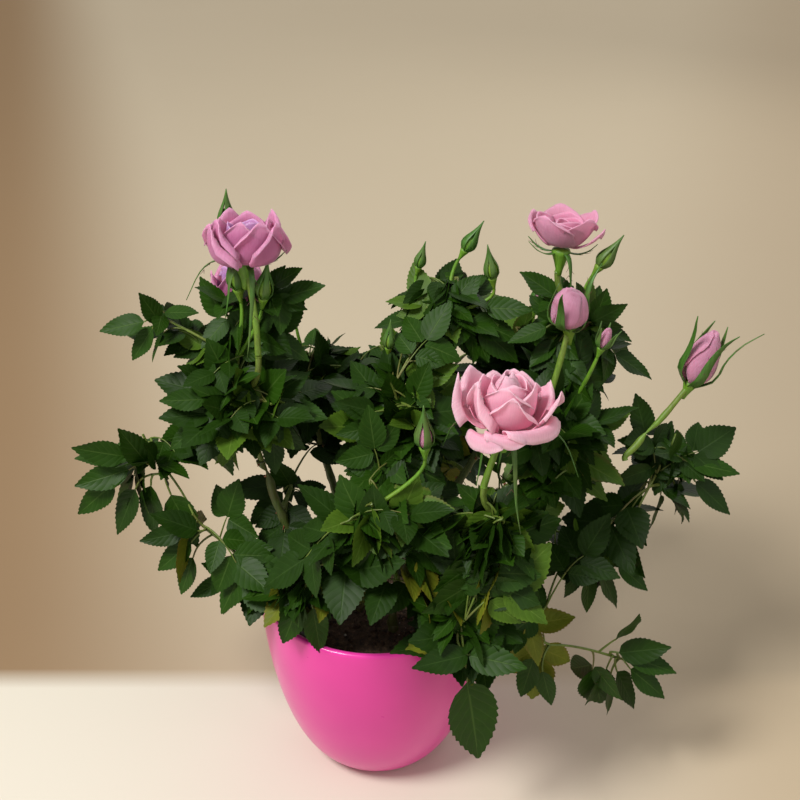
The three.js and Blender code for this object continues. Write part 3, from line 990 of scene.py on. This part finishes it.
class ROSE_OT_foliage(bpy.types.Operator):
    """Shoots, twigs and toothed compound leaves, grown on from the canes by a seeded branching rule"""

    bl_idname = "rose.foliage"
    bl_label = "Foliage"

    def execute(self, context):
        settings = context.scene.rose.foliage
        skeleton = Skeleton.grown(settings.seed)
        rng = random.Random(settings.seed + 2)
        slack = Vector((5, 5, 3)) * MM
        kit = LeafKit(rng, (Vector(CAD_BOX[0]) - slack, Vector(CAD_BOX[1]) + slack))
        for name in MASSES:
            if name != "hanging_leaf":
                self.dress(name, skeleton, kit, settings, rng)
        for name, fan in STANDING_OUT.items():
            kit.standing_out(name, fan, skeleton)
        kit.hanging_leaf(skeleton)
        self.fill(skeleton, kit, settings, rng)
        if kit.count < len(MASSES):
            raise RuntimeError("the branching rule grew too few leaves")
        looks = leaf_looks(settings.blade)
        for kind, bm in kit.blades.items():
            replaced = MASSES if kind == "deep" else ()
            finish_piece(f"leaves_{kind}", bm, looks[kind], replaced)
        stalk_look = bark_material("leaf_stalk_rind", tone("586c24"), tone("6a4030"), 0.6)
        place_piece("leaf_stalks", tubes("leaf_stalks", kit.stalks, 0), stalk_look)
        twig_look = bark_material("young_shoot_rind", tone("62782c"), tone("6d4a2c"), 0.5)
        lines = [line for _, line in skeleton.lines] + flower_feet(skeleton)
        place_piece("shoots_and_twigs", tubes("shoots_and_twigs", lines, 1), twig_look)
        return {"FINISHED"}

    @staticmethod
    def fill(skeleton, kit, settings, rng):
        """Leaves all along the shoots, so that the sprays of one mass run on into the next."""
        for name, line in skeleton.lines:
            if not MASS_HABIT.get(name, PLAIN_HABIT)["inner"]:
                continue
            for base, _ in line[1::3]:
                outward = Vector((base.x, base.y, 0)).normalized()
                way = (any_way(rng) + outward * 0.5 + UP * 0.15).normalized()
                size = leaflet_length(settings, base) * rng.uniform(0.6, 0.95)
                tip = base + way * size * rng.uniform(1.6, 2.2)
                if not skeleton.inside(tip, 7 * MM):
                    continue
                up = leaf_facing(rng, tip, outward)
                kit.leaf(base, tip, size, leaf_kind(rng, tip), up)

    @staticmethod
    def dress(name, skeleton, kit, settings, rng):
        """Grows a mass's leaves: one to each spread point on it, and some inside."""
        habit = MASS_HABIT.get(name, PLAIN_HABIT)
        centre = centre_of(name)
        tips = skeleton.tips(name, settings.spacing * habit["spacing"])
        inner = [centre.lerp(tip, rng.uniform(0.5, 0.75)) for tip in tips if rng.random() < 0.55]
        for tip in tips + inner * habit["inner"]:
            size = leaflet_length(settings, tip) * habit["size"] * rng.uniform(0.82, 1.12)
            ideal = size * rng.uniform(1.6, 2.1)
            misfits = [abs((tip - spot).length - ideal) + 0.45 * (spot - centre).length
                       for spot in skeleton.spots]
            base = skeleton.spots[misfits.index(min(misfits))]
            outward = (tip - centre).normalized()
            up = leaf_facing(rng, tip, outward)
            tip = centre.lerp(tip, rng.uniform(0.86, 1.1))
            kit.leaf(base, tip, size, leaf_kind(rng, tip), up, habit["pairs"])


def leaflet_length(settings, place):
    """Leaflets are long near the pot and shorter towards the top."""
    return mix(settings.low_leaflet, settings.high_leaflet, smooth(0.3, 0.85, place.z / CAD_BOX[1][2]))


def leaf_facing(rng, tip, outward):
    """The way that a leaf's upper face looks: up and outwards, and to the front where it grows there."""
    front = 0.45 * (1 - smooth(0.0, 70 * MM, tip.y))
    return UP + Vector((outward.x, outward.y - front, 0)) * 0.5 + any_way(rng) * 0.26


def leaf_kind(rng, tip):
    """The colour a spray takes: deep and plain green, fresher at the tips, some bronze near the pot."""
    draw = rng.random()
    low = tip.z < 0.46 * CAD_BOX[1][2]
    near_rim = low and tip.to_2d().length < 110 * MM
    if draw < (0.24 if near_rim else 0.06 if low else 0.0):
        return "bronze"
    if draw < (0.22 if low else 0.12):
        return "fresh"
    if not low and draw > 0.97:
        return "young"
    return "deep" if rng.random() < 0.5 else "green"


def leaf_looks(blade):
    return {
        "deep": leaf_material("leaf_deep", scaled(blade, 0.46), tone("4a6630"), scaled(blade, 0.4)),
        "green": leaf_material("leaf_green", scaled(blade, 0.66), tone("66823e"), scaled(blade, 0.6)),
        "fresh": leaf_material("leaf_fresh", tone("456317"), tone("7f9a45"), tone("54701e")),
        "bronze": leaf_material("leaf_bronze", tone("66701a"), tone("98963a"), tone("7a6224")),
        "young": leaf_material("leaf_young", tone("46661c"), tone("86984c"), tone("6a5030")),
    }


def flower_feet(skeleton):
    """A line from the skeleton to the foot of each flower stalk, so that no stalk hangs in the air."""
    lines = []
    for node in STALKS:
        (foot, radius), (ahead, _) = limb_line(node)[0], limb_line(node)[2]
        start, _ = skeleton.nearest(foot - UP * 22 * MM)
        bow = foot - (ahead - foot).normalized() * 0.5 * (foot - start).length
        lines.append(tapered([start, bow, foot], 5, radius, radius))
    return lines


# ----------------------------------------------------------------------------------- canes and stalks


CANE_SHARE = 0.75  # how thick a cane is drawn, as a share of its CAD radius
BOUGH_SHARE = 0.72  # the same for the bough


def slimmed(node, share):
    return [(point, radius * share) for point, radius in limb_line(node)]


def barked(mesh, relief, grain):
    """Raises fine ribs and pocks on a limb's mesh, along its length."""
    bm = bmesh.new()
    bm.from_mesh(mesh)
    bm.normal_update()
    for vertex in bm.verts:
        spot = Vector((vertex.co.x * grain, vertex.co.y * grain, vertex.co.z * grain * 0.2))
        vertex.co = vertex.co + vertex.normal * relief * noise.noise(spot)
    bm.to_mesh(mesh)
    bm.free()
    mesh.shade_smooth()
    return mesh


def knuckled(line, rng, gap=1.5 * MM, joint=17 * MM, swell=0.2):
    """A limb's line drawn finer, with a swollen joint every so often."""
    points = [point for point, _ in line]
    radii = [radius for _, radius in line]
    length = sum((b - a).length for a, b in zip(points, points[1:]))
    count = max(6, round(length / gap))
    phase = rng.uniform(0, joint)
    fine = []
    for step in range(count + 1):
        share = step / count
        off = (share * length + phase) % joint - joint / 2
        bulge = 1 + swell * math.exp(-((off / (1.8 * MM)) ** 2))
        place = share * (len(radii) - 1)
        index = min(len(radii) - 2, int(place))
        fine.append((through(points, share), mix(radii[index], radii[index + 1], place - index) * bulge))
    return fine


def prickles(bm, line, rng):
    """Flat-footed prickles on a limb, each bent down a little at its point."""
    for (point, radius), (ahead, _) in zip(line[3::4], line[4::4]):
        if rng.random() > 0.75:
            continue
        along = (ahead - point).normalized()
        out = along.cross(any_way(rng)).normalized()
        length = rng.uniform(1.9, 3.0) * MM
        shape = bmesh.ops.create_cone(
            bm, cap_ends=True, segments=6, radius1=0.75 * MM, radius2=0.05 * MM, depth=length)["verts"]
        stand = facing(along, out, point + out * radius * 0.8)
        for vertex in shape:
            rise = vertex.co.z + length / 2
            slump = -0.9 * MM * (rise / length) ** 2
            vertex.co = stand @ Vector((vertex.co.x * 0.6, vertex.co.y * 1.5 + slump, rise))


class ROSE_OT_canes(bpy.types.Operator):
    """The ribbed, jointed canes that rise from the compost, with their prickles"""

    bl_idname = "rose.canes"
    bl_label = "Canes"

    def execute(self, context):
        rng = random.Random(context.scene.rose.foliage.seed + 3)
        lines = []
        for node in CANES:
            line = slimmed(node, CANE_SHARE)
            buried = line[0][0] - UP * 9 * MM
            lines.append(knuckled([(buried, line[0][1] * 1.2), *line], rng))
        look = bark_material("cane_rind", tone("4a5a24"), tone("4f3a22"), 0.85)
        place_piece("ribbed_canes", barked(tubes("canes", lines, 5), 0.45 * MM, 420), look, CANES)
        bm = bmesh.new()
        for line in lines:
            prickles(bm, line, rng)
        thorn = bark_material("prickle_horn", tone("8a4a34"), tone("b08a58"), 0.8)
        finish_piece("prickles", bm, thorn)
        return {"FINISHED"}


class ROSE_OT_flower_stalks(bpy.types.Operator):
    """The green stalks below the blooms, and the long bough on the right"""

    bl_idname = "rose.flower_stalks"
    bl_label = "Flower stalks"

    def execute(self, context):
        rng = random.Random(context.scene.rose.foliage.seed + 4)
        lines = [knuckled(limb_line(node), rng, swell=0.1) for node in STALKS]
        lines += [knuckled(slimmed(node, BOUGH_SHARE), rng, swell=0.1) for node in BOUGHS]
        look = bark_material("stalk_rind", tone("5f8024"), tone("6a5a2a"), 0.45)
        mesh = barked(tubes("flower_stalks", lines, 4), 0.15 * MM, 500)
        place_piece("flower_stalks", mesh, look, (*BOUGHS, *STALKS))
        return {"FINISHED"}


# --------------------------------------------------------------------------------- blooms and buds

# Each ring of petals, from the heart outwards: how many, how wide, how far down their sides the rim folds
# back, how pointed they are, and the line of radius and height that they follow, in shares of the bloom's.
OPEN_ROSE = [
    (3, 0.50, 0.00, 0.04, [(0.06, 0.16), (0.32, 0.36), (0.32, 0.70), (0.07, 1.0)]),
    (3, 0.60, 0.16, 0.06, [(0.08, 0.12), (0.42, 0.34), (0.44, 0.66), (0.34, 0.90)]),
    (4, 0.56, 0.26, 0.06, [(0.10, 0.10), (0.52, 0.30), (0.60, 0.60), (0.57, 0.90)]),
]
# The outer petals of the open bloom: the way each faces in degrees, then its ring as above.
OPEN_ROSE_SKIRT = [
    (184, 0.34, 0.40, 0.06, [(0.12, 0.08), (0.56, 0.08), (0.92, 0.34), (1.04, 0.94)]),
    (214, 0.42, 0.50, 0.04, [(0.12, 0.08), (0.54, 0.14), (0.72, 0.52), (0.80, 0.98)]),
    (272, 0.60, 0.44, 0.06, [(0.12, 0.08), (0.56, 0.18), (0.74, 0.44), (0.80, 0.76)]),
    (236, 0.46, 0.10, 0.08, [(0.12, 0.05), (0.62, 0.02), (0.88, 0.14), (1.00, 0.10), (1.04, -0.12)]),
    (264, 0.46, 0.12, 0.10, [(0.12, 0.05), (0.64, 0.04), (0.88, 0.18), (1.02, 0.12), (1.02, -0.12)]),
    (308, 0.70, 0.12, 0.04, [(0.12, 0.05), (0.62, 0.06), (0.90, 0.28), (1.04, 0.28), (1.10, 0.06)]),
    (346, 0.56, 0.30, 0.04, [(0.12, 0.06), (0.60, 0.10), (0.94, 0.42), (1.06, 0.80)]),
    (22, 0.54, 0.40, 0.03, [(0.12, 0.06), (0.60, 0.14), (0.84, 0.50), (0.98, 0.82)]),
    (66, 0.58, 0.36, 0.04, [(0.12, 0.06), (0.58, 0.14), (0.82, 0.50), (0.92, 0.82)]),
    (104, 0.56, 0.40, 0.02, [(0.12, 0.06), (0.60, 0.10), (0.86, 0.44), (1.02, 0.76)]),
    (144, 0.56, 0.38, 0.04, [(0.12, 0.06), (0.58, 0.14), (0.80, 0.50), (0.92, 0.88)]),
    (46, 0.56, 0.10, 0.06, [(0.12, 0.05), (0.62, 0.04), (0.92, 0.22), (1.06, 0.20), (1.10, 0.0)]),
    (120, 0.56, 0.10, 0.06, [(0.12, 0.05), (0.60, 0.04), (0.90, 0.20), (1.04, 0.20), (1.06, 0.0)]),
]
CUPPED_ROSE = [
    (3, 0.30, 0.00, 0.04, [(0.05, 0.2), (0.20, 0.45), (0.20, 0.66), (0.12, 0.80)]),
    (3, 0.50, 0.14, 0.04, [(0.10, 0.14), (0.42, 0.40), (0.46, 0.66), (0.42, 0.84)]),
    (4, 0.60, 0.30, 0.04, [(0.14, 0.10), (0.60, 0.28), (0.68, 0.60), (0.64, 0.92)]),
    (4, 0.74, 0.40, 0.03, [(0.16, 0.07), (0.74, 0.18), (0.86, 0.52), (0.80, 0.98)]),
    (3, 0.92, 0.46, 0.03, [(0.16, 0.05), (0.76, 0.12), (0.98, 0.44), (0.96, 0.92)]),
]
LOOSE_CUP = [
    (3, 0.40, 0.00, 0.04, [(0.05, 0.30), (0.26, 0.5), (0.28, 0.68), (0.18, 0.80)]),
    (3, 0.60, 0.10, 0.02, [(0.10, 0.26), (0.46, 0.46), (0.58, 0.70), (0.60, 0.86)]),
    (4, 0.70, 0.14, 0.0, [(0.14, 0.22), (0.52, 0.36), (0.74, 0.66), (0.82, 0.96)]),
    (5, 0.78, 0.20, 0.0, [(0.16, 0.20), (0.52, 0.26), (0.84, 0.60), (1.02, 1.06)]),
]
LOOSE_CUP_SKIRT = [(338, 0.34, 0.16, 0.06, [(0.16, 0.16), (0.62, 0.22), (1.02, 0.42), (1.30, 0.74)])]
CONE_ROSE = [
    (3, 0.34, 0.00, 0.04, [(0.05, 0.2), (0.26, 0.45), (0.26, 0.75), (0.12, 1.0)]),
    (3, 0.55, 0.20, 0.06, [(0.12, 0.10), (0.52, 0.36), (0.52, 0.72), (0.44, 0.98)]),
    (5, 0.66, 0.38, 0.10, [(0.16, 0.06), (0.66, 0.20), (0.80, 0.58), (0.86, 0.92)]),
]
EGG_BUD = [
    (3, 1.00, 0.00, 0.0, [(0.12, 0.05), (0.66, 0.22), (0.80, 0.48), (0.50, 0.84), (0.02, 0.93)]),
    (4, 1.25, 0.00, 0.0, [(0.20, 0.02), (0.88, 0.20), (1.00, 0.46), (0.78, 0.78), (0.10, 1.0)]),
]
SLIM_BUD = [
    (3, 0.80, 0.00, 0.0, [(0.12, 0.05), (0.60, 0.22), (0.72, 0.46), (0.46, 0.80), (0.02, 1.0)]),
    (3, 1.10, 0.06, 0.03, [(0.25, 0.02), (0.84, 0.18), (0.94, 0.42), (0.66, 0.74), (0.14, 0.96)]),
]

SKIRTS = {"bloom_front": OPEN_ROSE_SKIRT, "bloom_upper_right": LOOSE_CUP_SKIRT}

# Sepals, as lines of radius and height in shares of the bloom's: folded down, draped far down, arched out,
# spread, long, or hugging the bud.
HANGING_SEPAL = [(0.12, 0.02), (0.34, -0.02), (0.48, -0.26), (0.52, -0.62), (0.58, -1.0)]
DRAPED_SEPAL = [(0.12, 0.02), (0.46, -0.04), (0.62, -0.50), (0.66, -1.10), (0.80, -1.70)]
ARCHED_SEPAL = [(0.14, 0.02), (0.80, 0.04), (1.25, -0.20), (1.60, -0.75)]
SPREAD_SEPAL = [(0.14, 0.03), (0.50, 0.0), (0.84, 0.10), (1.10, 0.30)]
LONG_SEPAL = [(0.26, -0.02), (1.12, 0.26), (1.2, 0.62), (1.6, 0.98), (2.35, 1.3)]
HUGGING_SEPAL = [(0.26, -0.02), (1.02, 0.20), (1.10, 0.50), (0.80, 0.86), (0.55, 1.12)]
# The same for a small bud, while it is closed and once it opens.
CLOSED_SEPAL = [(0.3, 0.0), (1.0, 0.24), (1.0, 0.5), (0.5, 0.84), (0.2, 1.12), (0.05, 1.4)]
OPENING_SEPAL = [(0.3, 0.0), (1.1, 0.2), (1.4, 0.42), (1.6, 0.7), (2.0, 0.95)]

# For each flower: the limb it stands on, its petals, its lean, its turn, and its sepals.
FLOWER_HABIT = {
    "bloom_front": (
        "stalk_front", OPEN_ROSE, (2, 8), 0.0,
        [ARCHED_SEPAL, HANGING_SEPAL, ARCHED_SEPAL, HANGING_SEPAL, DRAPED_SEPAL]),
    "bloom_upper_left": (
        "stalk_upper_left", CUPPED_ROSE, (2, 10), 0.35,
        [SPREAD_SEPAL, SPREAD_SEPAL, ARCHED_SEPAL, HANGING_SEPAL, DRAPED_SEPAL]),
    "bloom_left_rear": ("stalk_left_rear", CONE_ROSE, (-4, 4), 1.1, [HANGING_SEPAL] * 5),
    "bloom_upper_right": (
        "stalk_upper_right", LOOSE_CUP, (3, 10), 0.0, [SPREAD_SEPAL] * 4 + [HANGING_SEPAL]),
    "bud_centre_right": (
        "stalk_centre_right", EGG_BUD, (-4, 0), 0.4,
        [LONG_SEPAL, SPREAD_SEPAL, HUGGING_SEPAL, LONG_SEPAL, SPREAD_SEPAL]),
    "bud_far_right": (
        "bough_right_side", SLIM_BUD, (18, 0), -0.5,
        [LONG_SEPAL, HUGGING_SEPAL, HUGGING_SEPAL, LONG_SEPAL, LONG_SEPAL]),
}
# How much of its box's width and height a flower's petals take, because their folded rims reach further out.
FLOWER_SHARES = {
    "bloom_front": (0.9, 0.80),
    "bloom_upper_left": (0.96, 0.88),
    "bloom_left_rear": (0.95, 0.9),
    "bloom_upper_right": (0.94, 0.88),
}
AGEING = ("bloom_upper_left", "bloom_left_rear")
# The radius of the hip below a flower, its length in radii, and the half width of a sepal.
HIP_RADIUS = {"bloom": 5.0 * MM, "bud": 3.8 * MM}
HIP_LENGTH = 2.3
SEPAL_WIDTH = {"bloom": 2.0 * MM, "bud": 3.3 * MM}

# Small buds: the mass each stands above, where in its box, its length, its lean, and how much petal shows.
SMALL_BUDS = [
    ("left_top", (0.36, 0.10, 0.70), 17, (-6, 0), 0.0),
    ("left_top", (0.54, 0.00, 0.62), 16, (10, -6), 0.0),
    ("left_top", (0.24, 1.00, 1.20), 15, (4, 0), 0.0),
    ("right_top", (0.60, 0.55, 1.00), 15, (32, 0), 0.0),
    ("right_crown", (0.74, 0.46, 1.24), 13, (16, 0), 0.6),
    ("centre_front", (0.82, 0.45, 1.28), 17, (-2, 0), 0.25),
    ("right_rear_crown", (0.60, 0.65, 1.08), 14, (30, 0), 0.0),
    ("right_rear_crown", (0.78, 0.40, 0.90), 14, (-10, 0), 0.0),
    ("right_rear_crown", (0.30, 0.60, 0.92), 11, (14, 0), 0.0),
    ("centre_crown", (0.44, 0.76, 0.93), 12, (4, 0), 0.0),
    ("rear_right", (0.55, 0.50, 1.06), 14, (8, 10), 0.3),
    ("rear_left", (0.40, 0.55, 1.06), 13, (-8, 12), 0.0),
]


def leant(foot, lean):
    """A stand at a foot that leans to the right and to the front by two angles in degrees."""
    right, front = (math.radians(angle) for angle in lean)
    return Matrix.Translation(foot) @ Matrix.Rotation(right, 4, "Y") @ Matrix.Rotation(-front, 4, "X")


def flower_stand(node):
    """Where a flower stands and its lean, with its width and height."""
    limb, _, lean, turn, _ = FLOWER_HABIT[node]
    low, high = BOXES[node]
    stand = leant(limb_line(limb)[-1][0], lean) @ Matrix.Rotation(turn, 4, "Z")
    shares = FLOWER_SHARES.get(node, (1.0, 1.0))
    return stand, (high[0] - low[0]) / 2 * shares[0], (high[2] - low[2]) * shares[1]


def petal(bm, stand, radius, height, turn, ring, rng):
    """One petal: a sheet wrapped round the bloom's axis, its rim folded back on both sides of its tip."""
    _, width, fold, peak, profile = ring
    spots = [Vector((r * radius, z * height)) for r, z in profile]
    width *= rng.uniform(0.88, 1.1)
    lift = rng.uniform(-0.06, 0.05) * height
    lean = rng.uniform(-0.02, 0.04)
    ripple = rng.uniform(0.4, 1.3) * 0.02
    phase = rng.uniform(0, math.tau)
    length = sum((end - start).length for start, end in zip(spots, spots[1:]))
    for vertex in grid(bm, 12, 14):
        share, along = vertex.co.x, vertex.co.y
        side = abs(share)
        shoulder = (0.16 + 0.26 * fold) * side**2.2
        reach = along * (1 - shoulder * along**0.5)
        crease = 1 - shoulder - 0.36 * fold * smooth(0.0, 0.5, side) * (1.0 if share > 0 else 0.55)
        over = max(0.0, reach - crease) * length
        spot = through(spots, min(reach, crease))
        half = width * radius * (0.2 + 0.8 * smooth(0.0, 0.6, along))
        bend = max(-1.75, min(1.75, half * share / max(spot.x, 0.16 * radius)))
        out = spot.x * (1 + 0.04 * share + ripple * math.sin(4.2 * share + phase) * along**3)
        out += lean * spot.y + over * 0.8
        drop = 0.3 * over + 2.2 * over * over / length
        rise = peak * height * (1 - side) ** 1.5 * smooth(0.7, 1.0, along)
        z = spot.y + lift * along - drop + rise
        angle = turn + bend
        vertex.co = stand @ Vector((out * math.cos(angle), out * math.sin(angle), z))


def sepal(bm, stand, radius, height, turn, profile, width, rng):
    """One long sepal, folded along its middle and drawn out to a thread."""
    spots = [Vector((r * radius, z * height)) for r, z in profile]
    sway = rng.uniform(-0.35, 0.35)
    for vertex in grid(bm, 2, 9):
        share, along = vertex.co.x, vertex.co.y
        spot = through(spots, along)
        half = width * (0.55 + 0.45 * math.sin(min(1.0, along * 2.6) * math.pi / 2)) * (1 - along) ** 0.85
        half = max(half, 0.16 * MM)
        angle = turn + sway * along**2
        out = Vector((math.cos(angle), math.sin(angle), 0))
        round_it = Vector((-out.y, out.x, 0))
        place = out * (spot.x + 0.3 * half * abs(share)) + round_it * half * share + UP * spot.y
        vertex.co = stand @ place


def sepal_bristles(stand, radius, height, turn, profile, rng):
    """Thin side bristles of a feathered sepal, as lines."""
    spots = [Vector((r * radius, z * height)) for r, z in profile]
    lines = []
    for share in (0.34, 0.5, 0.66):
        here, ahead = through(spots, share), through(spots, share + 0.06)
        out = Vector((math.cos(turn), math.sin(turn), 0))
        start = out * here.x + UP * here.y
        along = (out * (ahead.x - here.x) + UP * (ahead.y - here.y)).normalized()
        for side in (-1, 1):
            way = (along + Vector((-out.y, out.x, 0)) * side * rng.uniform(0.6, 1.0)).normalized()
            end = start + way * rng.uniform(3.0, 5.5) * MM
            middle = start.lerp(end, 0.5) - UP * 0.2 * MM
            widths = (0.17 * MM, 0.13 * MM, 0.06 * MM)
            lines.append([(stand @ spot, width) for spot, width in zip((start, middle, end), widths)])
    return lines


def hip(bm, stand, radius, length):
    """The green funnel below a flower."""
    profile = [
        (0.0, -1.06), (0.28, -1.0), (0.38, -0.75), (0.62, -0.38), (0.9, -0.06), (1.0, 0.08), (0.86, 0.2),
        (0.0, 0.24),
    ]
    part = bmesh.new()
    turned(part, [(r * radius, z * length) for r, z in profile], 18)
    part.transform(stand)
    mesh = bpy.data.meshes.new("hip")
    part.to_mesh(mesh)
    part.free()
    bm.from_mesh(mesh)
    bpy.data.meshes.remove(mesh)


class ROSE_OT_flowers(bpy.types.Operator):
    """Blooms and buds of separate petals, with their hips, sepals and bristles"""

    bl_idname = "rose.flowers"
    bl_label = "Blooms and buds"

    def execute(self, context):
        settings = context.scene.rose.flowers
        rng = random.Random(context.scene.rose.foliage.seed + 5)
        fresh, rose, ageing, lilac, sepals, hips = (bmesh.new() for _ in range(6))
        bristles = []
        for node, (_, rings, _, _, leaves) in FLOWER_HABIT.items():
            stand, radius, height = flower_stand(node)
            outer = ageing if node in AGEING else fresh if node == "bloom_front" else rose
            for step, ring in enumerate(rings):
                bm = lilac if node in AGEING and step < 2 else outer
                for index in range(ring[0]):
                    turn = math.tau * (index + 0.4 * step) / ring[0] + rng.uniform(-0.12, 0.12)
                    petal(bm, stand, radius, height, turn, ring, rng)
            for way, *ring in SKIRTS.get(node, ()):
                petal(outer, stand, radius, height, math.radians(way), (1, *ring), rng)
            kind = node.split("_")[0]
            hip(hips, stand, HIP_RADIUS[kind], HIP_RADIUS[kind] * HIP_LENGTH)
            for index, profile in enumerate(leaves):
                turn = math.tau * index / 5 + rng.uniform(-0.2, 0.2)
                sepal(sepals, stand, radius, height, turn, profile, SEPAL_WIDTH[kind], rng)
                if index % 2 == 0:
                    bristles += sepal_bristles(stand, radius, height, turn, profile, rng)
        stems = self.small_buds(rose, sepals, hips, rng, context.scene.rose.foliage.seed)
        pink = petal_material("pink_petal", settings.pink, scaled(settings.pink, 0.62), tone("f0b6c8"))
        deep = petal_material("rose_petal", settings.rose, scaled(settings.rose, 0.7), tone("dc90b0"))
        mauve = petal_material("mauve_petal", settings.mauve, tone("a8588a"), tone("d88eb2"))
        heart = petal_material("lilac_petal", settings.lilac, scaled(settings.lilac, 0.7), tone("c894c4"))
        green = bark_material("sepal_green", tone("3f6a22"), tone("6a7440"), 0.5)
        calyx = bark_material("hip_green", tone("5c8a20"), tone("8a9a30"), 0.5)
        bristle = bark_material("bristle_red", tone("5a2a2c"), tone("4a5a24"), 0.5)
        wall = settings.petal
        half_open = ["bloom_upper_right", "bud_centre_right"]
        finish_piece("petals_pink", fresh, pink, ["bloom_front"], thickness=wall)
        finish_piece("petals_rose", rose, deep, half_open, thickness=wall)
        finish_piece("petals_lilac", lilac, heart, thickness=wall)
        finish_piece("petals_mauve", ageing, mauve, AGEING, thickness=wall)
        finish_piece("sepals", sepals, green, ["bud_far_right"], thickness=wall)
        finish_piece("hips", hips, calyx)
        place_piece("sepal_bristles", tubes("sepal_bristles", bristles, 0), bristle)
        place_piece("small_bud_stalks", tubes("small_bud_stalks", stems, 1), calyx)
        return {"FINISHED"}

    @staticmethod
    def small_buds(petals, sepals, hips, rng, seed):
        """Closed green buds, some with a pink tip, each on its own short stalk."""
        skeleton = Skeleton.grown(seed)
        stems = []
        for node, shares, tall, lean, shown in SMALL_BUDS:
            low, high = BOXES[node]
            foot = Vector([mix(a, b, share) for a, b, share in zip(low, high, shares)])
            height = tall * MM
            radius = height * 0.24
            stand = leant(foot, lean)
            hip_length = radius * 1.7
            hip(hips, stand, radius * 0.72, hip_length)
            core = petals if shown else hips
            tip = [(0.5, 0.68 + 0.2 * shown), (0.08, 0.74 + 0.26 * shown)]
            ring = (3, 1.0, 0.0, 0.0, [(0.3, 0.0), (0.85, 0.22), (0.88, 0.45), *tip])
            for index in range(3):
                petal(core, stand, radius, height, math.tau * index / 3, ring, rng)
            hug = OPENING_SEPAL if shown > 0.4 else CLOSED_SEPAL
            for index in range(5):
                sepal(sepals, stand, radius, height, math.tau * index / 5, hug, radius * 0.62, rng)
            start, _ = skeleton.nearest(foot - UP * 25 * MM)
            top = stand @ Vector((0, 0, -hip_length))
            below = stand @ Vector((0, 0, -hip_length - 9 * MM))
            stems.append(tapered([start, below, top], 7, 1.2 * MM, 0.85 * MM))
        return stems


# ------------------------------------------------------------------------------------------- stage


# The lamps: their places, sizes and tints. All of them look at one point inside the plant.
LAMPS = (
    ("key_light", (-0.62, -0.5, 1.3), 0.42, (1.0, 0.98, 0.95)),
    ("fill_light", (0.9, -0.5, 0.7), 0.9, (1.0, 0.97, 0.93)),
    ("back_light", (0.5, 1.1, 0.8), 0.9, (1.0, 0.98, 0.95)),
)
LAMP_AIM = Vector((0.0, 0.0, 0.17))
BOARD_EDGE = 46 * MM  # how far behind the pot's middle the floor turns to its deeper tone


class ROSE_OT_stage(bpy.types.Operator):
    """A pale floor, soft studio light and the camera"""

    bl_idname = "rose.stage"
    bl_label = "Stage"

    def execute(self, context):
        settings = context.scene.rose.stage
        bm = bmesh.new()
        bmesh.ops.create_grid(bm, x_segments=1, y_segments=1, size=4)
        mesh = bpy.data.meshes.new("floor")
        bm.to_mesh(mesh)
        bm.free()
        floor = bpy.data.objects.new("floor", mesh)
        # The pale board, its painted shade on the near right, the far beige, and the painted shade at the far
        # sides.
        tones = (tone(code) for code in ("dad4c5", "bfad91", "c2b49b", "8b7050"))
        mesh.materials.append(floor_material(*tones, BOARD_EDGE))
        context.scene.collection.objects.link(floor)
        for name, place, size, tint in LAMPS:
            self.lamp(context, name, place, size, getattr(settings, name.split("_")[0]), tint)
        world = bpy.data.worlds.new("soft_sky")
        world.use_nodes = True
        backdrop = world.node_tree.nodes["Background"]
        backdrop.inputs["Color"].default_value = (1.0, 0.97, 0.93, 1)
        backdrop.inputs["Strength"].default_value = settings.sky
        context.scene.world = world
        lens = bpy.data.cameras.new("camera")
        lens.lens = settings.lens
        lens.clip_start = 0.01
        camera = bpy.data.objects.new("camera", lens)
        camera.location = (settings.aside, -settings.distance, settings.height)
        camera.rotation_euler = (math.pi / 2 - settings.pitch, 0, 0)
        context.scene.collection.objects.link(camera)
        context.scene.camera = camera
        context.scene.view_settings.view_transform = "Standard"
        return {"FINISHED"}

    @staticmethod
    def lamp(context, name, place, size, strength, tint):
        light = bpy.data.lights.new(name, "AREA")
        light.shape = "DISK"
        light.size = size
        light.energy = strength
        light.color = tint
        lamp = bpy.data.objects.new(name, light)
        lamp.location = place
        lamp.rotation_euler = (Vector(place) - LAMP_AIM).to_track_quat("Z", "Y").to_euler()
        context.scene.collection.objects.link(lamp)


class ROSE_PT_panel(bpy.types.Panel):
    """Lists the settings and the steps that build the rose bush"""

    bl_label = "Rose bush"
    bl_idname = "ROSE_PT_panel"
    bl_space_type = "VIEW_3D"
    bl_region_type = "UI"
    bl_category = "Rose"

    def draw(self, context):
        rose = context.scene.rose
        for group in (rose.pot, rose.foliage, rose.flowers, rose.stage):
            box = self.layout.box()
            for name in type(group).__annotations__:
                box.prop(group, name)
        for step in STEPS:
            self.layout.operator(step.bl_idname)


SETTINGS = (PotSettings, FoliageSettings, FlowerSettings, StageSettings, RoseSettings)
STEPS = (
    ROSE_OT_stage, ROSE_OT_cover_pot, ROSE_OT_nursery_pot, ROSE_OT_compost, ROSE_OT_canes,
    ROSE_OT_flower_stalks, ROSE_OT_foliage, ROSE_OT_flowers,
)


def register():
    for kind in (*SETTINGS, *STEPS, ROSE_PT_panel):
        bpy.utils.register_class(kind)
    bpy.types.Scene.rose = PointerProperty(type=RoseSettings)


def unregister():
    del bpy.types.Scene.rose
    for kind in reversed((*SETTINGS, *STEPS, ROSE_PT_panel)):
        bpy.utils.unregister_class(kind)


def main():
    register()
    bpy.ops.rose.stage()
    bpy.ops.rose.cover_pot()
    bpy.ops.rose.nursery_pot()
    bpy.ops.rose.compost()
    bpy.ops.rose.canes()
    bpy.ops.rose.flower_stalks()
    bpy.ops.rose.foliage()
    bpy.ops.rose.flowers()


if __name__ == "__main__":
    main()
